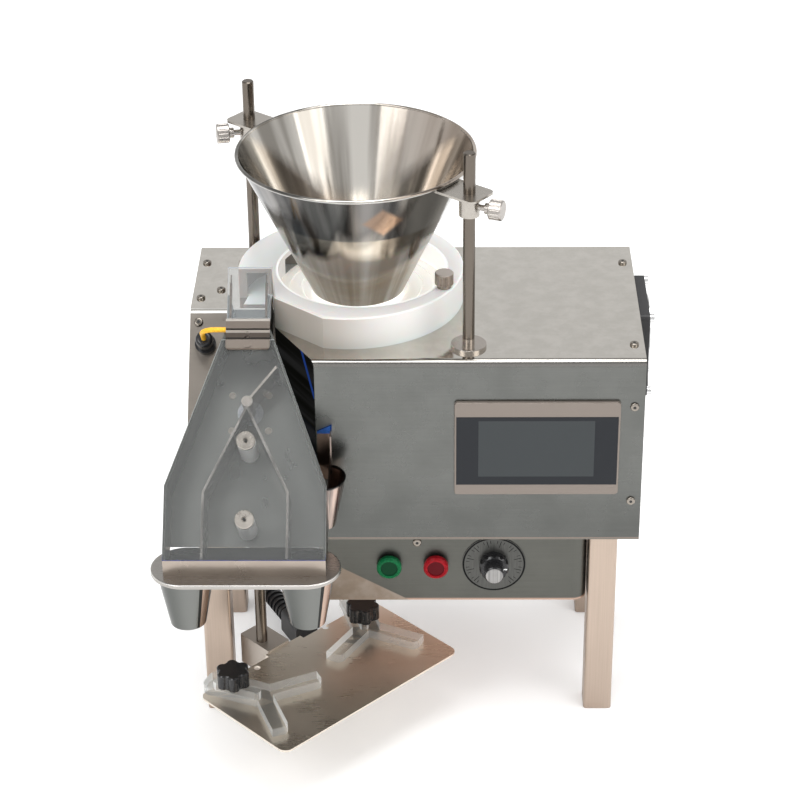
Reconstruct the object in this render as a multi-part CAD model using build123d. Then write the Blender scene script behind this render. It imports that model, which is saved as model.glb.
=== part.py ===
# Capsule counter: a bench machine that counts capsules into bottles.
# Millimetres, Z up. X runs to the right along the front, Y to the back.
# While the pieces are built, the floor is z = 0 and the front face of the housing is y = 0.
# Each piece is moved when it is saved, so that the part's origin lies on the floor under its middle.
from build123d import *
import os
from math import atan2, cos, degrees, hypot, pi, radians, sin, sqrt, tan

os.makedirs("parts", exist_ok=True)

# Middle of the machine's outer box on the floor
middle_x = 41.67
middle_y = 49.702

# Clearances
running_gap = 0.05      # shaft in bore, on the radius
sliding_gap = 0.3       # between parts that pass each other
screw_gap = 0.1         # screw shank in a plain hole, on the radius

# Housing of bent stainless sheet
sheet = 1.5
housing_left = -145.0
housing_right = 240.0
housing_depth = 212.0
housing_height = 175.0
leg_height = 194.0
bend_radius = 6.0       # outside of the bend along the top front edge
notch_front_x = -35.0   # the deck's cut corner: where its slanting edge meets the front,
notch_turn_x = -70.2    # where that edge turns back
notch_turn_y = 60.3
notch_back_x = -73.0    # and where it meets the deck's front left edge
notch_depth = 95.4      # that edge lies this far behind the front
foot_y = 12.0           # upright foot of the front left panel
flange = 12.0           # return flanges of the end panels

# Legs of square tube
leg_width = 25.0
leg_wall = 2.0
leg_corner = 3.0
leg_side_inset = 4.0    # from the left end of the housing
leg_right_inset = 16.5  # from its right end
leg_front_inset = 17.8
leg_back_inset = 18.0

# Screws with button heads
button_head_radius = 3.8
button_head_height = 2.2
m4_radius = 2.0
screw_inset = 7.5       # from the panel's edge to its screws
screw_length = 8.0

# Control box under the housing
box_left = -36.0
box_right = 197.5
box_front = 16.2
box_back = 150.0
box_height = 74.0
box_corner = 12.0
button_drop = 36.0      # from the housing's floor to the middle of the push buttons
start_x = 24.8
stop_x = 65.6
button_radius = 10.8
button_thick = 5.5
button_travel = 3.0
button_stem_radius = 6.0
button_bush_radius = 8.0
dial_x = 116.2
dial_radius = 27.8
dial_thick = 0.8
knob_skirt_radius = 12.75
knob_cap_radius = 8.4
knob_skirt_height = 8.0
knob_height = 18.0
pot_shaft_radius = 3.0
pot_body_radius = 12.0
pot_body_depth = 12.0

# Operator panel
panel_left = 81.2
panel_width = 138.8
panel_low = 241.6 - leg_height
panel_height = 89.8
bezel_thick = 3.5
bezel_corner = 3.0
glass_inset_side = 1.7
glass_low = 10.1        # bezel strip below the glass
glass_height = 66.0
glass_thick = 1.2
glass_proud = 0.2
case_inset = 4.0
case_depth = 28.0
case_room = 0.5         # between the case and the sheet's edge

# Fan on the right end panel
fan_y = 132.0
fan_rise = 128.0        # its middle above the housing's floor
fan_size = 80.0
fan_thick = 10.0
fan_bore = 38.0
fan_hub = 17.0
fan_screw_pitch = 71.5
fan_blades = 7
guard_wire = 1.6
guard_rings = (12.0, 20.0, 28.0, 36.0)

# Bowl ring and turntable
bowl_x = 2.5            # middle of the turntable and of the bowl's inside
bowl_y = 115.0
bowl_inner = 72.3
bowl_outer_x = -7.1     # middle of the ring's outer circle
bowl_outer_y = 118.4
bowl_outer = 97.0
bowl_height = 29.0
bowl_edge = 1.2
outlet_y = 114.5        # upright face that the outlet opens in
outlet_side_x = -75.4
outlet_side_end_x = -70.0
outlet_side_end_y = 60.3
outlet_cut_x = -25.0
outlet_cut_y = 21.2
outlet_left = -97.0
outlet_right = -79.0
tongue_thick = 3.0
outlet_top = 24.0       # top of the outlet above the deck
turntable_gap = 0.5
turntable_low = 5.0
turntable_thick = 6.0
turntable_groove = 0.8
groove_radii = (26.0, 40.0, 52.0, 62.0)
spindle_radius = 6.0
spindle_flange_radius = 15.0
spindle_flange_thick = 3.0
spindle_pilot_radius = 4.0
bearing_radius = 22.0
bearing_flange_radius = 35.0
bearing_flange_thick = 4.0
bearing_length = 28.0
gearbox_size = 60.0
gearbox_length = 40.0
motor_radius = 26.0
motor_length = 62.0
ring_screw_x = 73.0
ring_screw_y = 78.0

# Hopper, its posts and thumb screws
hopper_x = -0.5
hopper_y = 102.0
hopper_gap = 8.0        # feed gap above the turntable
hopper_low_radius = 40.0
hopper_rim_radius = 98.9
hopper_depth = 124.5
hopper_wall = 1.2
hopper_rim_wire = 1.6
post_dx = 93.7          # from the hopper's axis to a post
post_dy = 75.0
post_radius = 5.0
post_height = 176.0
post_flange_radius = 15.0
post_flange_thick = 3.0
ear_width = 30.0
ear_thick = 2.0
ear_drop = 2.5          # from the rim to the ear's upper face
collar_radius = 8.5
collar_height = 18.0
thumb_radius = 8.5
thumb_length = 11.0
thumb_reach = 17.8      # from the post's axis to the knurled head
m5_radius = 2.5
thumb_angle_right = -20.0
thumb_angle_left = 190.0

# Chute on the sloping panel: s runs down the slope from the deck's edge, w out of the slope
chute_x = -91.5
chute_plate = 2.0
chute_wall = 2.0
chute_depth = 42.8
chute_top = 2.0
neck_half = 18.0
neck_end = 30.0
kink_s = 166.8
kink_half = 67.0
chute_front_y = -97.3
cup_plate_drop = 147.0  # from the deck down to the cup plate's upper face
cover_thick = 3.0
cover_top = 41.5
flap_s = 94.0
flap_length = 38.5
flap_thick = 2.0
flap_rest = 38.9
flap_hub_radius = 4.75
flap_shaft_radius = 2.5
flap_gap = 0.8
divider_thick = 2.0
divider_half = 36.0
divider_kink = 171.8
stop_pin_radius = 2.0
stop_pin_height = 10.0
stop_pin_reach = 36.0
standoff_radius = 8.0
standoff_places = (129.4, 196.2)
disc_thick = 3.0
stepper_size = 42.3
stepper_length = 38.0
stepper_hole = 46.0
pilot_radius = 11.0
stepper_screw_pitch = 31.0

# Cup plate and cups
cup_pitch = 100.0
cup_y = -83.0
cup_plate_radius = 29.0
cup_plate_thick = 2.0
lip_height = 3.5
cup_flange_radius = 27.0
cup_mouth_radius = 24.0
cup_end_radius = 15.0
cup_length = 52.0
cup_wall = 1.2
purge_x = -31.0
purge_y = -23.2
purge_radius = 21.5
purge_end_radius = 12.0
purge_length = 46.0
purge_drop = 97.0       # from the deck to its rim
spout_left = -34.0
spout_right = -21.5

# Sensor at the chute's mouth
sensor_left = -110.0
sensor_right = -73.0
sensor_top = 24.0
sensor_low = 41.0
sensor_thick = 5.0
clamp_low = 51.0
guard_top = -21.0
guard_thick = 3.0
bar_offset = 15.0
bar_width = 2.0
lead_radius = 2.2
lead_gland_u = -39.5
lead_s = 33.0
lead_bend = 12.0
gland_radius = 8.0
gland_height = 20.0

# Bottle platform on its rod
rod_x = -90.0
rod_y = 22.0
rod_radius = 5.0
socket_radius = 10.0
socket_length = 18.0
platform_drop = 123.0   # from the housing's floor to the platform's upper face
platform_rest = 44.8
block_left = -8.0
block_right = 17.0
block_front = -17.5
block_back = 20.6
block_height = 30.0
block_proud = 2.0
plate_left = -92.0
plate_right = 114.0
plate_back = -22.0
plate_front = -134.0
plate_thick = 2.0
plate_corner = 8.0
tab_left = -11.3
tab_right = 30.0
tab_height = 24.0
plate_hole_radius = 3.0
plate_holes = ((-29.5, -27.0), (55.0, -24.0))

# Bottle forks
fork_thick = 8.0
stem_width = 25.0
stem_length = 63.7
slot_width = 8.0
slot_start = 12.0
slot_length = 45.0
arm_length = 47.0
arm_width = 15.0
arm_angle = 47.5
fork_tip_radius = 6.0
fork_heel_radius = 8.0
fork_left_v = (-52.0, -74.0)
fork_left_turn = 23.0
fork_left_stud = 38.0
fork_right_v = (72.0, -63.0)
fork_right_turn = -28.0
fork_right_stud = 20.0
star_radius = 15.0
star_height = 14.0
star_collar_radius = 10.0
star_collar_height = 2.0
stud_nut_height = 4.0
stud_nut_radius = 4.6

# Mains lead
cord_radius = 3.25
cord_gland_x = -60.0
cord_gland_rise = 31.0
coil_x = 40.0
coil_y = 303.5
coil_mean_radius = 35.0
coil_rows = 2
plug_tip = (-55.3, 109.2)
plug_tail = (-96.0, 186.0)
plug_length = 34.0
plug_width = 22.0
plug_thick = 28.0
relief_radius = 8.0
relief_ribs = 8
cord_to_coil = (
    (-60.0, 234.0, 225.0), (-60.0, 262.0, 225.0), (-57.0, 292.0, 200.0), (-52.0, 308.0, 154.0),
    (-47.0, 312.0, 104.0), (-42.0, 318.0, 58.0), (-28.0, 330.0, 22.0), (0.0, 340.0, 10.5),
    (26.0, 341.75, 9.75),
)
cord_to_plug = (
    (26.0, 265.25, 3.4), (6.0, 266.0, 3.4), (-22.0, 273.0, 3.4), (-52.0, 284.0, 3.4),
    (-84.0, 284.0, 3.4), (-110.0, 266.0, 4.5), (-119.0, 238.0, 10.0), (-109.9, 212.1, 14.0),
    (-100.5, 194.4, 14.0),
)

# Levels that follow
base_low = leg_height
base_top = base_low + sheet
deck_top = base_low + housing_height
deck_low = deck_top - sheet
cup_plate_top = deck_top - cup_plate_drop
cup_plate_low = cup_plate_top - cup_plate_thick
hopper_low = deck_top + turntable_low + turntable_thick + hopper_gap
hopper_top = hopper_low + hopper_depth
platform_top = base_low - platform_drop
platform_low = platform_top - plate_thick
turntable_bottom = deck_top + turntable_low
turntable_top = turntable_bottom + turntable_thick

# The slope of the front left panel passes through the deck's front left edge at 45 degrees
slope = Plane(origin=(chute_x, notch_depth, deck_top), x_dir=(1, 0, 0), z_dir=(0, -1, 1))


def block(x0, x1, y0, y1, z0, z1):
    """Box between two opposite corners."""
    return Pos((x0 + x1) / 2, (y0 + y1) / 2, (z0 + z1) / 2) * Box(x1 - x0, y1 - y0, z1 - z0)


def pillar(x, y, z0, z1, radius):
    """Upright cylinder."""
    return Pos(x, y, (z0 + z1) / 2) * Cylinder(radius, z1 - z0)


def bar_x(y, z, x0, x1, radius):
    """Cylinder along X."""
    return Pos((x0 + x1) / 2, y, z) * Rot(0, 90, 0) * Cylinder(radius, x1 - x0)


def bar_y(x, z, y0, y1, radius):
    """Cylinder along Y."""
    return Pos(x, (y0 + y1) / 2, z) * Rot(90, 0, 0) * Cylinder(radius, y1 - y0)


def outline_z(points, z0, z1):
    """Prism along Z over an outline of (x, y) points."""
    face = make_face(Polyline([(x, y, z0) for x, y in points], close=True))
    return extrude(face, amount=z1 - z0, dir=(0, 0, 1))


def outline_x(points, x0, x1):
    """Prism along X over an outline of (y, z) points."""
    face = make_face(Polyline([(x0, y, z) for y, z in points], close=True))
    return extrude(face, amount=x1 - x0, dir=(1, 0, 0))


def on_slope(points, w0, w1):
    """Prism standing on the slope, over an outline of (u, s) points."""
    face = make_face(Polyline([(u, -s, w0) for u, s in points], close=True))
    return slope * extrude(face, amount=w1 - w0, dir=(0, 0, 1))


def slope_pin(u, s, w0, w1, radius):
    """Cylinder that stands on the slope."""
    return slope * pillar(u, -s, w0, w1, radius)


def slope_block(u0, u1, s0, s1, w0, w1):
    """Box that lies on the slope."""
    return slope * block(u0, u1, -s1, -s0, w0, w1)


def edge_at(solid, y, z):
    """Edges along X whose middle has this y and z."""
    return [e for e in solid.edges() if abs(e.center().Y - y) < 0.01 and abs(e.center().Z - z) < 0.01]


def save(name, *pieces):
    """Write one sub-part, moved to the part's origin."""
    solids = [solid for piece in pieces for solid in piece.solids()]
    moved = [Pos(-middle_x, -middle_y, 0) * solid for solid in solids]
    whole = moved[0] if len(moved) == 1 else Compound(moved)
    export_step(whole, f"parts/{name}.step")


def notch_x(y):
    """The slanting edge's x at this depth."""
    return notch_front_x + (notch_turn_x - notch_front_x) * y / notch_turn_y


# Sloping panel: its outer face is z = y + rise
rise = deck_top - notch_depth
slant_step = sheet * sqrt(2)
foot_top = foot_y + rise
inner_foot_y = foot_y + sheet
inner_foot_top = inner_foot_y + rise - slant_step
panel_top_y = notch_depth - sheet + slant_step


def screw_places():
    """Each housing screw: the point under its head, and the direction that it points in."""
    left = housing_left + screw_inset
    right = housing_right - screw_inset - 1.0
    low_slope = notch_depth - 9.0
    down = (0, 0, -1)
    return (
        ((left, housing_depth - 30.6, deck_top), down),
        ((left, notch_depth + 18.7, deck_top), down),
        ((left + 16.4, notch_depth + 33.7, deck_top), down),
        ((right, housing_depth - 32.1, deck_top), down),
        ((right, 28.6, deck_top), down),
        ((right, 0.0, deck_top - 43.3), (0, 1, 0)),
        ((right, 0.0, base_low + 39.5), (0, 1, 0)),
        ((left, low_slope, low_slope + rise), (0, 1, -1)),
        ((49.3, box_front, base_low - 13.2), (0, 1, 0)),
    )


def screw(place, direction, radius):
    """Button head screw, with its head outside the sheet."""
    frame = Plane(origin=place, z_dir=direction)
    head = Pos(0, 0, -button_head_height / 2) * Cylinder(button_head_radius, button_head_height)
    head = fillet(head.edges().group_by(Axis.Z)[0], button_head_height * 0.6)
    shank = Pos(0, 0, screw_length / 2) * Cylinder(radius, screw_length)
    return frame * (head + shank)


def screw_hole(place, direction):
    """Room for a screw's shank."""
    frame = Plane(origin=place, z_dir=direction)
    return frame * Cylinder(m4_radius + screw_gap, 4 * screw_length)


def drill(solid):
    """Cut every housing screw's hole that reaches the solid."""
    for place, direction in screw_places():
        solid = solid - screw_hole(place, direction)
    return solid


def top_cover():
    """Deck, front and slanting corner wall, bent from one sheet."""
    left, right, back = housing_left, housing_right, housing_depth
    slanting = [(notch_front_x, 0), (notch_turn_x, notch_turn_y)]
    outer = outline_z([(left, back), (right, back), (right, 0), *slanting,
                       (notch_back_x, notch_depth), (left, notch_depth)], base_top, deck_top)
    outer = fillet(edge_at(outer, 0, deck_top), bend_radius)
    open_y = notch_depth - 2 * sheet
    wide = [(left - 5, back + 5), (right + 5, back + 5), (right + 5, 0), *slanting,
            (notch_back_x, open_y), (left - 5, open_y)]
    face = make_face(Polyline([(x, y, base_top - 1) for x, y in wide], close=True))
    inner = offset(face, -sheet, kind=Kind.INTERSECTION)
    inner = extrude(inner, amount=deck_low - base_top + 1, dir=(0, 0, 1))
    inner = fillet(edge_at(inner, sheet, deck_low), bend_radius - sheet)
    under_slope = outline_x([(foot_y, base_top - 1), (foot_y, foot_top), (notch_depth - sheet, deck_low),
                             (back + 1, deck_low), (back + 1, base_top - 1)], left - 1, right - 1)
    cover = outer - inner - under_slope
    cover -= on_slope(chute_outline(chute_top, far_down, sliding_gap), -1, chute_depth)
    room = case_inset - case_room
    panel_foot = base_low + panel_low
    cover -= block(panel_left + room, panel_left + panel_width - room, -1, sheet + 1,
                   panel_foot + room, panel_foot + panel_height - room)
    cover -= pillar(bowl_x, bowl_y, deck_low - 1, deck_top + 1, bearing_radius + sliding_gap)
    cover -= pillar(ring_screw_x, ring_screw_y, deck_low - 1, deck_top + 1, m5_radius + screw_gap)
    return drill(cover)


def front_left_panel():
    """Sloping plate with its upright foot; the flap's motor looks through it."""
    outline = [(foot_y, base_top), (foot_y, foot_top), (notch_depth - sheet, deck_low), (panel_top_y, deck_low),
               (inner_foot_y, inner_foot_top), (inner_foot_y, base_top)]
    panel = outline_x(outline, housing_left, notch_x(foot_y) + 2 * sheet)
    half = stepper_hole / 2
    panel -= slope_block(-half, half, flap_s - half, flap_s + half, -5, 5)
    panel -= slope_pin(lead_gland_u, lead_s, -5, 5, 3.5)
    return drill(panel)


def end_panel(outline, outside, inside):
    """End panel with return flanges all round."""
    step = flange if inside > outside else -flange
    skin = sheet if inside > outside else -sheet
    face = make_face(Polyline([(outside, y, z) for y, z in outline], close=True))
    hollow = offset(face, -sheet, kind=Kind.INTERSECTION)
    low, high = min(outside, outside + step), max(outside, outside + step)
    solid = Pos(low - outside, 0, 0) * extrude(face, amount=high - low, dir=(1, 0, 0))
    room = Pos(skin, 0, 0) * extrude(hollow, amount=2 * step, dir=(1, 0, 0))
    return solid - room


def left_panel():
    """Left end panel, which follows the slope at its front."""
    outline = [(inner_foot_y, base_top), (inner_foot_y, inner_foot_top), (panel_top_y, deck_low),
               (housing_depth - sheet, deck_low), (housing_depth - sheet, base_top)]
    return drill(end_panel(outline, housing_left, 0))


def right_panel():
    """Right end panel with the fan's opening."""
    corner = bend_radius - sheet + 0.5
    outline = [(sheet, base_top), (sheet, deck_low - corner), (sheet + corner, deck_low),
               (housing_depth - sheet, deck_low), (housing_depth - sheet, base_top)]
    panel = end_panel(outline, housing_right, 0)
    fan_z = base_low + fan_rise
    panel -= bar_x(fan_y, fan_z, housing_right - 5, housing_right + 5, fan_bore)
    half = fan_screw_pitch / 2
    for dy in (-half, half):
        for dz in (-half, half):
            panel -= bar_x(fan_y + dy, fan_z + dz, housing_right - 5, housing_right + 5, m4_radius + screw_gap)
    return drill(panel)


def rear_panel():
    """Flat rear panel with the mains gland's hole."""
    panel = block(housing_left, housing_right, housing_depth - sheet, housing_depth, base_top, deck_low)
    gland_z = base_low + cord_gland_rise
    return panel - bar_y(cord_gland_x, gland_z, housing_depth - 5, housing_depth + 5, gland_radius - 2)


def base_panel():
    """Floor of the housing with the welded socket of the platform's rod."""
    back, right = housing_depth, housing_right
    panel = outline_z([(housing_left, back), (right, back), (right, 0), (notch_front_x, 0),
                       (notch_x(foot_y), foot_y), (housing_left, foot_y)], base_low, base_top)
    socket = pillar(rod_x, rod_y, base_low - socket_length, base_low, socket_radius)
    socket -= pillar(rod_x, rod_y, base_low - socket_length - 1, base_low - 0.5, rod_radius + running_gap)
    wires = block(dial_x - 20, dial_x + 20, box_back - 60, box_back - 30, base_low - 1, base_top + 1)
    return [panel - wires, socket]


def leg(x, y):
    """Square tube with a welded foot plate, from its left front corner."""
    profile = RectangleRounded(leg_width, leg_width, leg_corner)
    room = RectangleRounded(leg_width - 2 * leg_wall, leg_width - 2 * leg_wall, leg_corner - leg_wall)
    tube = extrude(profile, amount=leg_height)
    tube -= Pos(0, 0, leg_wall) * extrude(room, amount=leg_height)
    return Pos(x + leg_width / 2, y + leg_width / 2, 0) * tube


def control_box():
    """Sheet box below the housing, with one rounded upright corner."""
    low = base_low - box_height
    outer = block(box_left, box_right, box_front, box_back, low, base_low)
    corner = [e for e in outer.edges().filter_by(Axis.Z)
              if e.center().X > box_right - 1 and e.center().Y < box_front + 1]
    outer = fillet(corner, box_corner)
    inner = block(box_left + sheet, box_right - sheet, box_front + sheet, box_back - sheet, low + sheet, base_low + 1)
    corner = [e for e in inner.edges().filter_by(Axis.Z)
              if e.center().X > box_right - 3 and e.center().Y < box_front + 3]
    inner = fillet(corner, box_corner - sheet)
    box = outer - inner
    button_z = base_low - button_drop
    for x in (start_x, stop_x):
        box -= bar_y(x, button_z, box_front - 1, box_front + 3, button_bush_radius)
    box -= bar_y(dial_x, button_z, box_front - 1, box_front + 3, 4.0)
    return drill(box)


def push_button(x):
    """Round button with a raised edge and its stem."""
    z = base_low - button_drop
    back = box_front - button_travel - sliding_gap
    front = back - button_thick
    cap = bar_y(x, z, front, back, button_radius)
    rim = [e for e in cap.edges().filter_by(GeomType.CIRCLE) if e.center().Y < front + 0.1]
    cap = chamfer(rim, 1.6)
    cap -= bar_y(x, z, front - 1, front + 1.0, button_radius - 3.2)
    return cap + bar_y(x, z, back, box_front + 20, button_stem_radius)


def control_bodies():
    """Bushes and switch blocks behind the front, and the dial's potentiometer."""
    z = base_low - button_drop
    inside = box_front + sheet
    bodies = []
    for x in (start_x, stop_x):
        bush = bar_y(x, z, box_front, inside + 12, button_bush_radius - screw_gap)
        body = block(x - 14, x + 14, inside + 12, inside + 42, z - 19, z + 19)
        nut = bar_y(x, z, inside, inside + 4, button_bush_radius + 4)
        switch = bush + nut + body
        switch -= bar_y(x, z, box_front - 1, box_front + 21 + button_travel, button_stem_radius + running_gap)
        bodies.append(switch)
    pot = bar_y(dial_x, z, inside, inside + pot_body_depth, pot_body_radius)
    pot += bar_y(dial_x, z, box_front - dial_thick, inside, 3.8)
    pot -= bar_y(dial_x, z, box_front - 2, inside + 8, pot_shaft_radius + running_gap)
    bodies.append(pot)
    return bodies


def dial_plate():
    """Round scale plate under the speed knob."""
    z = base_low - button_drop
    plate = bar_y(dial_x, z, box_front - dial_thick, box_front, dial_radius)
    return plate - bar_y(dial_x, z, box_front - 2, box_front + 1, 4.0)


def speed_knob():
    """Grooved knob with a flat cap, turned with its shaft."""
    z = base_low - button_drop
    back = box_front - dial_thick - sliding_gap
    skirt = Pos(0, 0, knob_skirt_height / 2) * Cylinder(knob_skirt_radius, knob_skirt_height)
    skirt = chamfer(skirt.edges().group_by(Axis.Z)[-1], 1.5)
    for step in range(12):
        angle = radians(30 * step)
        radius = knob_skirt_radius + 0.9
        skirt -= pillar(radius * cos(angle), radius * sin(angle), 2, knob_skirt_height + 1, 2.0)
    cap = Pos(0, 0, knob_height / 2) * Cylinder(knob_cap_radius, knob_height)
    cap = chamfer(cap.edges().group_by(Axis.Z)[-1], 0.8)
    shaft = Pos(0, 0, -4) * Cylinder(pot_shaft_radius, 8)
    return Pos(dial_x, back, z) * Rot(90, 0, 0) * (skirt + cap + shaft)


def hmi_case():
    """Operator panel: bezel in front of the sheet, case behind it."""
    low = base_low + panel_low
    middle = (panel_left + panel_width / 2, low + panel_height / 2)
    bezel = Box(panel_width, bezel_thick, panel_height)
    bezel = fillet(bezel.edges().filter_by(Axis.Y), bezel_corner)
    bezel = Pos(middle[0], -bezel_thick / 2, middle[1]) * bezel
    front_rim = [e for e in bezel.edges() if e.center().Y < -bezel_thick + 0.01]
    bezel = fillet(front_rim, 0.8)
    case = block(panel_left + case_inset, panel_left + panel_width - case_inset, 0, case_depth,
                 low + case_inset, low + panel_height - case_inset)
    seat = block(panel_left + glass_inset_side - 0.1, panel_left + panel_width - glass_inset_side + 0.1,
                 -bezel_thick - 1, -bezel_thick + glass_thick - glass_proud,
                 low + glass_low - 0.1, low + glass_low + glass_height + 0.1)
    return bezel + case - seat


def hmi_glass():
    """Dark front glass in the bezel."""
    low = base_low + panel_low + glass_low
    back = -bezel_thick + glass_thick - glass_proud
    return block(panel_left + glass_inset_side, panel_left + panel_width - glass_inset_side,
                 back - glass_thick, back, low, low + glass_height)


def electronics():
    """Power supply and motor driver board on the housing's floor."""
    left = dial_x - 46
    back = housing_depth - 27
    supply = block(left, left + 110, back - 80, back, base_top, base_top + 38)
    driver = block(left + 10, left + 90, back - 133, back - 101, base_top, base_top + 28)
    return [supply, driver]


def fan_frame():
    """Square fan frame with its hub and four struts."""
    z = base_low + fan_rise
    inside = housing_right
    outside = inside + fan_thick
    frame = Box(fan_thick, fan_size, fan_size)
    frame = fillet(frame.edges().filter_by(Axis.X), 4)
    frame = Pos(inside + fan_thick / 2, fan_y, z) * frame
    frame -= bar_x(fan_y, z, inside - 1, outside + 1, fan_bore)
    frame += bar_x(fan_y, z, inside, inside + 2, fan_hub)
    for angle in (45, 135, 225, 315):
        strut = block(0, 2, fan_hub - 1, fan_bore + 1, -1.5, 1.5)
        frame += Pos(inside, fan_y, z) * Rot(angle, 0, 0) * strut
    half = fan_screw_pitch / 2
    for dy in (-half, half):
        for dz in (-half, half):
            frame -= bar_x(fan_y + dy, z + dz, inside - 1, outside + 1, m4_radius + screw_gap)
    return frame - bar_x(fan_y, z, inside - 1, inside + 3, 2 + running_gap)


def fan_rotor():
    """Fan hub with swept blades on its shaft."""
    hub_from = 2 + sliding_gap
    hub_to = fan_thick - 0.7
    rotor = Pos(0, 0, (hub_from + hub_to) / 2) * Cylinder(fan_hub - 0.5, hub_to - hub_from)
    reach = fan_bore - 1.0
    for step in range(fan_blades):
        blade = Box(reach - fan_hub + 3, 9.0, 1.2)
        blade = Pos((reach + fan_hub - 3) / 2, 0, (hub_from + hub_to) / 2) * Rot(32, 0, 0) * blade
        rotor += Rot(0, 0, 360 * step / fan_blades) * blade
    rotor &= Pos(0, 0, (hub_from + hub_to) / 2) * Cylinder(reach, hub_to - hub_from)
    rotor += Pos(0, 0, hub_from / 2 + 0.2) * Cylinder(2, hub_from - 0.4)
    return Pos(housing_right, fan_y, base_low + fan_rise) * Rot(0, 90, 0) * rotor


def fan_guard():
    """Wire guard: rings, cross wires and the four mounting screws."""
    z = base_low + fan_rise
    half = fan_screw_pitch / 2
    guard = None
    for radius in guard_rings:
        ring = Cylinder(radius + guard_wire / 2, guard_wire) - Cylinder(radius - guard_wire / 2, guard_wire)
        guard = ring if guard is None else guard + ring
    for angle in (45, 135):
        guard += Rot(0, 0, angle) * Box(2 * half * sqrt(2), guard_wire, guard_wire)
    for dx in (-half, half):
        for dy in (-half, half):
            guard += Pos(dx, dy, guard_wire * 0.7) * Cylinder(3.6, guard_wire * 2.4)
            guard += Pos(dx, dy, -guard_wire / 2 - fan_thick / 2) * Cylinder(m4_radius, fan_thick)
    return Pos(housing_right + fan_thick + guard_wire / 2, fan_y, z) * Rot(0, 90, 0) * guard


def bowl_ring():
    """White ring round the turntable, with the cut corner, the outlet and its tongue."""
    top = deck_top + bowl_height
    ring = pillar(bowl_outer_x, bowl_outer_y, deck_top, top, bowl_outer)
    ring -= outline_z([(-130, outlet_y), (outlet_side_x, outlet_y), (outlet_side_end_x, outlet_side_end_y),
                       (outlet_cut_x, outlet_cut_y), (outlet_cut_x, -10), (-130, -10)], deck_top - 1, top + 1)
    ring = chamfer(ring.edges().group_by(Axis.Z)[-1], bowl_edge)
    ring -= pillar(bowl_x, bowl_y, deck_top - 1, top + 1, bowl_inner)
    floor = deck_top + tongue_thick
    ring -= outline_z([(outlet_left, outlet_y - 1), (outlet_right, outlet_y - 1), (outlet_right, outlet_y + 12),
                       (outlet_right + 22, outlet_y + 34), (outlet_right + 30, outlet_y + 58),
                       (outlet_right + 12, outlet_y + 58), (outlet_left + 6, outlet_y + 30),
                       (outlet_left, outlet_y + 14)], floor, deck_top + outlet_top)
    tongue = outline_z([(outlet_left + 1.5, outlet_y + 1), (outlet_side_x, outlet_y + 1),
                        (outlet_side_x + 0.4, outlet_y), (outlet_right + 2, notch_depth + 1),
                        (outlet_left - 2, notch_depth + 1)], deck_top, floor)
    ring += tongue
    post_x, post_y = hopper_x - post_dx, hopper_y + post_dy
    ring -= pillar(post_x, post_y, deck_top - 1, deck_top + post_flange_thick + sliding_gap,
                   post_flange_radius + sliding_gap)
    ring -= pillar(post_x, post_y, deck_top, top + 1, post_radius + 1)
    return ring - pillar(ring_screw_x, ring_screw_y, deck_top - 1, top + 1, m5_radius + running_gap)


def turntable():
    """White disc with fine raised rings, carried by the spindle's flange."""
    disc = pillar(bowl_x, bowl_y, turntable_bottom, turntable_top, bowl_inner - turntable_gap)
    disc = chamfer(disc.edges().group_by(Axis.Z)[-1], 0.6)
    for radius in groove_radii:
        groove = Cylinder(radius + 1, turntable_groove) - Cylinder(radius - 1, turntable_groove)
        disc -= Pos(bowl_x, bowl_y, turntable_top - turntable_groove / 2) * groove
    return disc - pillar(bowl_x, bowl_y, turntable_bottom - 1, turntable_top + 1, spindle_pilot_radius + 0.02)


def turntable_spindle():
    """Shaft with its flange, pilot and cap nut."""
    foot = deck_low - bearing_length - 22
    flange_low = turntable_bottom - spindle_flange_thick
    shaft = pillar(bowl_x, bowl_y, foot, flange_low, spindle_radius)
    shaft += pillar(bowl_x, bowl_y, flange_low, turntable_bottom, spindle_flange_radius)
    shaft += pillar(bowl_x, bowl_y, turntable_bottom, turntable_top + 1, spindle_pilot_radius)
    cap = pillar(bowl_x, bowl_y, turntable_top, turntable_top + 4, 8.0)
    return shaft + fillet(cap.edges().group_by(Axis.Z)[-1], 2.5)


def bearing_housing():
    """Turned bearing housing below the deck."""
    top = turntable_bottom - spindle_flange_thick - 1
    body = pillar(bowl_x, bowl_y, deck_low - bearing_length, top, bearing_radius)
    body += pillar(bowl_x, bowl_y, deck_low - bearing_flange_thick, deck_low, bearing_flange_radius)
    return body - pillar(bowl_x, bowl_y, deck_low - bearing_length - 1, top + 1, spindle_radius + running_gap)


def gear_motor():
    """Square gearbox and round motor, hung from the bearing housing."""
    top = deck_low - bearing_length
    half = gearbox_size / 2
    body = block(bowl_x - half, bowl_x + half, bowl_y - half, bowl_y + half, top - gearbox_length, top)
    body += pillar(bowl_x, bowl_y, top - gearbox_length - motor_length, top - gearbox_length, motor_radius)
    return body - pillar(bowl_x, bowl_y, top - 23, top + 1, spindle_radius + running_gap)


def ring_thumb_screw():
    """Knurled screw that holds the bowl ring on the deck."""
    top = deck_top + bowl_height
    foot = pillar(ring_screw_x, ring_screw_y, top, top + 3, 6.0)
    head = Pos(ring_screw_x, ring_screw_y, top + 3) * knurled_head(8.0, 11.0)
    stem = pillar(ring_screw_x, ring_screw_y, deck_low - 3, top, m5_radius)
    return foot + head + stem


def knurled_head(radius, length):
    """Round head along Z with straight grooves in its edge."""
    head = Pos(0, 0, length / 2) * Cylinder(radius, length)
    head = chamfer(head.edges().filter_by(GeomType.CIRCLE), 0.8)
    grooves = 16
    for step in range(grooves):
        angle = 2 * pi * step / grooves
        head -= pillar((radius + 0.4) * cos(angle), (radius + 0.4) * sin(angle), 1.6, length - 1.6, 0.9)
    return head


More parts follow.
